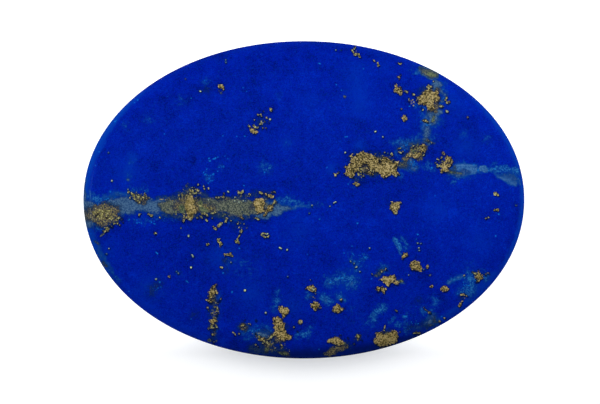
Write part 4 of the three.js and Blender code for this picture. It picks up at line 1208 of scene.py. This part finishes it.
# dark rims round the grains, and painted shade below them
GRAIN_RIM_AND_PAINTED_SHADE = seen(3, 16, 50)
SPECK_EDGE = seen(6, 44, 96)
PYRITE_PIT = seen(12, 14, 26)
PYRITE_STEPS = (
    (seen(84, 71, 24), -0.3, 0.1),
    (seen(146, 127, 60), 0.0, 0.55),
    (seen(220, 197, 135), 0.5, 1.3),
)
SMALL_GRAIN_TINT = (0.86, 1.06, 1.06, 1.0)    # small grains look greener than large ones
DULL_DARK = seen(44, 62, 50)
DULL_STEPS = ((seen(110, 122, 86), 0.1, 0.9),)
# painted glint of the small grains
GLINT = seen(206, 214, 150)
GLINT_EDGE = seen(40, 92, 140)

# How light the pyrite is: a base, and how much each thing adds
TONE_BASE = 0.17
SOLID_TONE = 0.2
CHIP_TONE = 0.6
FINE_TONE = 2.7
FINE_TONE_ON_OLIVE = -1.2
GOLD_TONE = 0.38
BROWN_TONE = -0.5
SMALL_TONE = 0.2
# painted light and shade: upper edges of grains lighter, their lower parts darker
PAINTED_LIT_EDGE_TONE = 1.3

# Depths inside the edge of a grain, in millimetres: where a thing begins and where it is full
SOLID = (0.04, 0.18)
GAP = (-0.02, 0.02)
CYAN_MARK = (-0.03, 0.03)
GLINT_MIDDLE = (-0.012, 0.024)
GLINT_RIM = (-0.04, 0.01)
# the shades are painted shade below glints and pyrite
GLINT_SHADE = (-0.09, 0.0)
PYRITE_RIM = (-0.06, -0.012)
PYRITE_SHADE = (-0.07, 0.0)
DULL_RIM = (-0.08, -0.01)
PYRITE_BLUR = 0.012
DULL_BLUR = 0.04
SMALL_HALF_WIDTH = (0.09, 0.035)

# How far the chips and the jitter move the edges of grains, the first as a share of half their width
RAGGED_SHARE = 0.9
RAGGED_MOST = 0.055
SHADE_RAGGED = 0.04
CYAN_RAGGED = 0.04
GAP_RAGGED = 0.08
JITTER_SHARE = 1.4

# Levels of noises and of chosen chips, and the cover of what they show
CHIP_SHADES = (0.15, 0.85)
CHOICE_BY_SHADE = -0.9
CHOICE_BY_DISTANCE = -0.3
GREEN_LEVELS = (0.5, 0.74)
BACK_LEVELS = (0.52, 0.7)
SPECK = (0.02, 0.12)
SPECK_RIM = (-0.12, 0.04)
GREEN_COVER = 0.5
BACK_DUST = 0.8
CYAN_COVER = 0.85
SPARK_COVER = 0.6
DUST_COVER = 0.85
DUST_RIM_COVER = 0.6
DULL_COVER = 0.85
DULL_RIM_COVER = 0.7
GAP_COVER = 0.85
GLINT_RIM_COVER = 0.6
RIM_COVER = 0.88
RIM_COVER_ON_OLIVE = -0.5

IOR = 1.5
SPECULAR_TINT = (0.08, 0.4, 1.0, 1.0)
POLISHED = 0.06           # roughness of the stone
PYRITE_ROUGHNESS = 0.4
PYRITE_METAL = 0.35
BUMP_HEIGHT = 0.02
BUMP_STRENGTH = 0.5
SURFACE_RELIEF = 0.02     # of the stone, where that of the pyrite is up to about 1


def blue_body(graph, place):
    """The stone's blue: clouds of four sizes, light and dark places, some painted light and shade."""
    total = graph.spread(graph.noise(place, *WIDE_CLOUDS), *BLUE_LEVELS)
    for scale, detail, roughness, weight in BLUE_NOISES:
        total = graph.plus(total, graph.uneven(place, scale, detail, roughness), weight)
    total = graph.plus(total, graph.field("light"), LIGHT_WEIGHT)
    total = graph.plus(total, graph.field("dark"), DARK_WEIGHT)
    blue = graph.blend(total, BLUE_DEEP, BLUE_STEPS)
    green = graph.rise(graph.noise(place, *GREEN_PATCHES), *GREEN_LEVELS)
    return graph.mix(graph.times(green, GREEN_COVER), blue, BLUE_GREEN)


def soft_marks(graph, place, colour):
    """The clouds, veins and painted edge light and shade over the blue, ragged and mottled by noise."""
    for name, edge, dark, light, broken, size, cover in SOFT_LOOKS:
        field = graph.field(name)
        level = graph.plus(field, graph.uneven(place, size, *BROKEN_EDGE), broken)
        mottle = graph.rise(graph.noise(place, size * 2, *MOTTLE), *SOFT_MOTTLE)
        middle = graph.mix(mottle, dark, light)
        for over, (low, high, gain) in ((edge, SOFT_EDGE), (middle, SOFT_MIDDLE)):
            within = graph.times(graph.smaller(graph.times(field, gain), 1.0), cover)
            colour = graph.mix(graph.times(graph.rise(level, low, high), within), colour, over)
    return colour


def chips(graph, place, scale):
    """Random shade of each crystal chip, and the distance from its middle in shares of its size."""
    noise = graph.add("ShaderNodeTexNoise", {"Vector": place, "Scale": scale, "Detail": 2.0})
    wobble = graph.vector("SUBTRACT", noise.outputs["Color"], (0.5, 0.5, 0.5))
    reach = (1 / scale, 1 / scale, 1 / scale)
    bent = graph.vector("MULTIPLY_ADD", wobble, reach, place)
    cells = graph.add("ShaderNodeTexVoronoi", {"Vector": bent, "Scale": scale})
    return graph.rise(cells.outputs["Color"], *CHIP_SHADES), cells.outputs["Distance"]


def chosen_chips(graph, field, shade, from_middle):
    """Specks that are chips chosen at random, more and larger ones where the field is stronger."""
    return graph.plus(graph.plus(field, shade, CHOICE_BY_SHADE), from_middle, CHOICE_BY_DISTANCE)


def ragged_grains(graph, shape, name, blur):
    """Depth inside grains whose ragged edge follows the crystal chips, and their mask."""
    ragged = graph.smaller(graph.times(graph.field(name + "_size"), RAGGED_SHARE), RAGGED_MOST)
    depth = graph.plus(graph.field(name), shape, ragged)
    return depth, graph.rise(depth, -blur, blur)


def pyrite_tone(graph, shade, fine, small):
    """How light the pyrite is, from about -0.3 to 1.3. Where it lies on the olive band it is more even."""
    # painted light on the upper edges of grains, painted shade on their lower parts
    painted_lit_edge = graph.math("SUBTRACT", graph.field("pyrite"), graph.field("pyrite_above"))
    solid = graph.rise(graph.field("pyrite"), *SOLID)
    contrast = graph.plus(FINE_TONE, graph.field("olive"), FINE_TONE_ON_OLIVE)
    tone = graph.plus(graph.plus(TONE_BASE, solid, SOLID_TONE), shade, CHIP_TONE)
    tone = graph.plus(tone, fine, contrast)
    tone = graph.plus(tone, graph.field("gold"), GOLD_TONE)
    tone = graph.plus(tone, graph.field("brown"), BROWN_TONE)
    return graph.plus(graph.plus(tone, small, SMALL_TONE), painted_lit_edge, PAINTED_LIT_EDGE_TONE)


def blue_specks(graph, place, jitter, colour):
    """The listed pale blue specks, and those too small to list."""
    listed = graph.rise(graph.plus(graph.field("cyan"), jitter, CYAN_RAGGED), *CYAN_MARK)
    sparks = chosen_chips(graph, graph.field("sparks"), *chips(graph, place, SPARKS_PER_MM))
    sparks = graph.times(graph.rise(sparks, *SPECK), SPARK_COVER)
    return graph.mix(graph.larger(graph.times(listed, CYAN_COVER), sparks), colour, CYAN_SPECK)


def pyrite_dust(graph, place, shade, from_middle, brass, colour):
    """Grains too small to list: on the face where SPECKLE says, and in patches on the back."""
    patches = graph.rise(graph.noise(place, *BACK_PATCHES), *BACK_LEVELS)
    dusty = graph.times(graph.times(graph.field("back"), patches), BACK_DUST)
    dust = chosen_chips(graph, graph.larger(dusty, graph.field("speckle")), shade, from_middle)
    rim = graph.times(graph.rise(dust, *SPECK_RIM), DUST_RIM_COVER)
    colour = graph.mix(rim, colour, SPECK_EDGE)
    return graph.mix(graph.times(graph.rise(dust, *SPECK), DUST_COVER), colour, brass)


def rims_and_painted_shade(graph, shape, pyrite_depth, dull_depth):
    """Dark line round the grains, widest below them as painted shade, fainter on the olive band."""
    below = graph.plus(graph.field("pyrite_above"), shape, SHADE_RAGGED)
    rims = graph.larger(graph.rise(below, *PYRITE_SHADE), graph.rise(pyrite_depth, *PYRITE_RIM))
    rims = graph.larger(rims, graph.times(graph.rise(dull_depth, *DULL_RIM), DULL_RIM_COVER))
    rims = graph.larger(rims, graph.rise(graph.field("glints_above"), *GLINT_SHADE))
    return graph.times(rims, graph.plus(RIM_COVER, graph.field("olive"), RIM_COVER_ON_OLIVE))


def bright_glints(graph, colour):
    """The small grains with their painted glint, each with a paler blue rim."""
    depth = graph.field("glints")
    rim = graph.times(graph.rise(depth, *GLINT_RIM), GLINT_RIM_COVER)
    colour = graph.mix(rim, colour, GLINT_EDGE)
    return graph.mix(graph.rise(depth, *GLINT_MIDDLE), colour, GLINT)


def polished_surface(graph, colour, metal, pyrite, relief):
    """The polish, which is a little rougher and uneven on the pyrite."""
    roughness = graph.add("ShaderNodeMix", {0: pyrite, 2: POLISHED, 3: PYRITE_ROUGHNESS}).outputs[0]
    bump = {"Strength": BUMP_STRENGTH, "Distance": BUMP_HEIGHT * MM, "Height": relief}
    return graph.add("ShaderNodeBsdfPrincipled", {
        "Base Color": colour, "Metallic": metal, "Roughness": roughness,
        "Normal": graph.add("ShaderNodeBump", bump).outputs[0],
        "IOR": IOR, "Specular IOR Level": 0.5, "Specular Tint": SPECULAR_TINT,
    }).outputs[0]


def lapis_material():
    material = bpy.data.materials.new("lapis_lazuli")
    material.use_nodes = True
    graph = Graph(material.node_tree)
    metres = graph.add("ShaderNodeTexCoord").outputs["Object"]
    place = graph.vector("SCALE", metres, Scale=1 / MM)

    shade, from_middle = chips(graph, place, CHIPS_PER_MM)
    jitter = graph.uneven(place, *RAGGED_EDGE)
    fine = graph.uneven(place, *FINE_TEXTURE)
    shape = graph.plus(graph.math("SUBTRACT", shade, 0.5), jitter, JITTER_SHARE)
    pyrite_depth, pyrite = ragged_grains(graph, shape, "pyrite", PYRITE_BLUR)
    dull_depth, dull = ragged_grains(graph, shape, "dull", DULL_BLUR)
    gaps = graph.rise(graph.plus(graph.field("gaps"), jitter, GAP_RAGGED), *GAP)

    small = graph.rise(graph.field("pyrite_size"), *SMALL_HALF_WIDTH)
    tone = pyrite_tone(graph, shade, fine, small)
    brass = graph.blend(tone, PYRITE_PIT, PYRITE_STEPS)
    greener = graph.tinted(brass, SMALL_GRAIN_TINT)
    tarnish = graph.blend(tone, DULL_DARK, DULL_STEPS)

    colour = soft_marks(graph, place, blue_body(graph, place))
    colour = blue_specks(graph, place, jitter, colour)
    colour = pyrite_dust(graph, place, shade, from_middle, greener, colour)
    # dark rims round the grains, with painted shade below them
    colour = graph.mix(rims_and_painted_shade(graph, shape, pyrite_depth, dull_depth), colour, GRAIN_RIM_AND_PAINTED_SHADE)
    colour = graph.mix(graph.times(dull, DULL_COVER), colour, tarnish)
    colour = graph.mix(pyrite, colour, graph.mix(small, brass, greener))
    colour = graph.mix(graph.times(gaps, GAP_COVER), colour, PYRITE_PIT)
    colour = bright_glints(graph, colour)

    relief = graph.times(graph.math("ADD", shade, fine), pyrite)
    relief = graph.plus(relief, graph.noise(place, *SURFACE_TEXTURE), SURFACE_RELIEF)
    metal = graph.larger(graph.times(graph.math("SUBTRACT", pyrite, gaps), PYRITE_METAL), 0.0)
    shader = polished_surface(graph, colour, metal, pyrite, relief)
    output = graph.add("ShaderNodeOutputMaterial", {"Surface": shader})
    output.is_active_output = True
    return material


# ----------------------------------------------------------------------------------------------------------
# Table, light and camera
# ----------------------------------------------------------------------------------------------------------

TABLE_SIZE = 4.0          # metres, as is the next
TABLE_DROP = 0.00001      # keeps the table just clear of the flat back
TABLE_WHITE = (0.5, 0.5, 0.5, 1.0)
TABLE_GLOW = 0.585        # the table looks lit from below, as on a light box
# a cool tint that shows in the shadow: painted blue light, as if bounced from the stone
TABLE_TINT = (0.94, 0.965, 1.0, 1.0)
SHADOW_FULL = -8.9        # from SHADOW_GONE on up the picture the glow washes the table out to pure white,
SHADOW_GONE = -7.5        # so that the shadow shows only below the stone

# The soft light is a band from side to side overhead. Its middle and its width are sines of angles from
# straight up, towards +Y.
BAND_MIDDLE = 0.3
BAND_WIDTH = 0.3
BAND_ON_LEVEL = 0.313     # light on level ground from the band at strength 1

# The tent. Each pair says where something begins and where it is full, in shares of the tent's radius.
TENT_RADIUS = 5.0         # metres
TENT_TINT = (0.25, 0.7, 1.0, 1.0)
TENT_LEVEL = 0.06
PALER_LEVEL = 0.08        # added low down
PALER_DOWN = (0.15, -0.05)
PALER_BACK = (-0.5, 0.1)
SLIT_TINT = (0.5, 0.8, 1.0, 1.0)
SLIT_LEVEL = 0.9
SLIT_LEFT = (-0.9, -0.96)
SLIT_FOOT = (0.16, 0.2)
SLIT_TOP = (0.29, 0.25)


def white_table():
    mesh = bpy.data.meshes.new("table")
    half = TABLE_SIZE / 2
    corners = [(-half, -half), (half, -half), (half, half), (-half, half)]
    mesh.from_pydata([(x, y, -TABLE_DROP) for x, y in corners], [], [(0, 1, 2, 3)])
    material = bpy.data.materials.new("white_table")
    material.use_nodes = True
    graph = Graph(material.node_tree)
    metres = graph.add("ShaderNodeTexCoord").outputs["Object"]
    y = graph.add("ShaderNodeSeparateXYZ", {0: metres}).outputs[1]
    away = graph.rise(y, SHADOW_FULL * MM, SHADOW_GONE * MM)
    glow = graph.plus(TABLE_GLOW, away, 1 - TABLE_GLOW)
    glow = graph.times(graph.add("ShaderNodeLightPath").outputs["Is Camera Ray"], glow)
    shader = graph.add("ShaderNodeBsdfPrincipled", {
        "Base Color": TABLE_WHITE, "Roughness": 0.9, "Specular IOR Level": 0.0,
        "Emission Color": TABLE_TINT, "Emission Strength": glow,
    })
    graph.add("ShaderNodeOutputMaterial", {"Surface": shader.outputs[0]})
    table = linked_object("table", mesh, material)
    table.visible_glossy = False


def studio_sky():
    """One long soft light overhead, a little towards +Y. The stone doesn't mirror it."""
    world = bpy.data.worlds.new("studio")
    world.use_nodes = True
    graph = Graph(world.node_tree)
    direction = graph.add("ShaderNodeTexCoord").outputs["Generated"]
    towards_back = graph.add("ShaderNodeSeparateXYZ", {0: direction}).outputs[1]
    away = graph.math("DIVIDE", graph.math("SUBTRACT", towards_back, BAND_MIDDLE), BAND_WIDTH)
    fall = graph.math("EXPONENT", graph.times(graph.times(away, away), -1.0))
    level = graph.times(fall, LIGHT_LEVEL / BAND_ON_LEVEL)
    shown = graph.add("ShaderNodeLightPath").outputs["Is Camera Ray"]
    strength = graph.add("ShaderNodeMix", {0: shown, 2: level, 3: 1.0}).outputs[0]
    background = graph.add("ShaderNodeBackground", {0: (1, 1, 1, 1), 1: strength})
    graph.add("ShaderNodeOutputWorld", {0: background.outputs[0]})
    world.cycles_visibility.glossy = False
    world.cycles.sampling_method = "NONE"     # the band is wide enough to be found by plain rays
    bpy.context.scene.world = world


def mirrored_tent():
    """What the polish mirrors: a dim tent, paler low down except at the front, with a slit at the left."""
    mesh = bpy.data.meshes.new("tent")
    shape = bmesh.new()
    bmesh.ops.create_uvsphere(shape, u_segments=64, v_segments=32, radius=TENT_RADIUS)
    shape.to_mesh(mesh)
    shape.free()
    material = bpy.data.materials.new("tent")
    material.use_nodes = True
    material.cycles.emission_sampling = "NONE"
    graph = Graph(material.node_tree)
    metres = graph.add("ShaderNodeTexCoord").outputs["Object"]
    direction = graph.vector("NORMALIZE", metres)
    x, y, z = graph.add("ShaderNodeSeparateXYZ", {0: direction}).outputs
    paler = graph.times(graph.rise(z, *PALER_DOWN), graph.rise(y, *PALER_BACK))
    slit = graph.times(graph.rise(x, *SLIT_LEFT), graph.rise(z, *SLIT_FOOT))
    slit = graph.times(slit, graph.rise(z, *SLIT_TOP))
    level = graph.plus(graph.plus(TENT_LEVEL, paler, PALER_LEVEL), slit, SLIT_LEVEL)
    glow = graph.add("ShaderNodeEmission", {0: graph.mix(slit, TENT_TINT, SLIT_TINT), 1: level})
    graph.add("ShaderNodeOutputMaterial", {0: glow.outputs[0]})
    tent = linked_object("tent", mesh, material)
    tent.visible_camera = tent.visible_diffuse = tent.visible_shadow = False
    tent.visible_transmission = tent.visible_volume_scatter = False


def camera_above():
    data = bpy.data.cameras.new("camera")
    data.sensor_width = SENSOR
    seen_width = PIXELS_ACROSS / PIXELS_PER_MM * MM
    data.lens = SENSOR * (CAMERA_HEIGHT - OUTLINE_HEIGHT * MM) / seen_width
    camera = bpy.data.objects.new("camera", data)
    camera.location = (CAMERA_X * MM, CAMERA_Y * MM, CAMERA_HEIGHT)
    bpy.context.scene.collection.objects.link(camera)
    bpy.context.scene.camera = camera


bpy.context.scene.view_settings.view_transform = "Standard"
camera_above()
white_table()
studio_sky()
mirrored_tent()
stone = polished_lapis()
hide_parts(NODE)
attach(stone, "root")
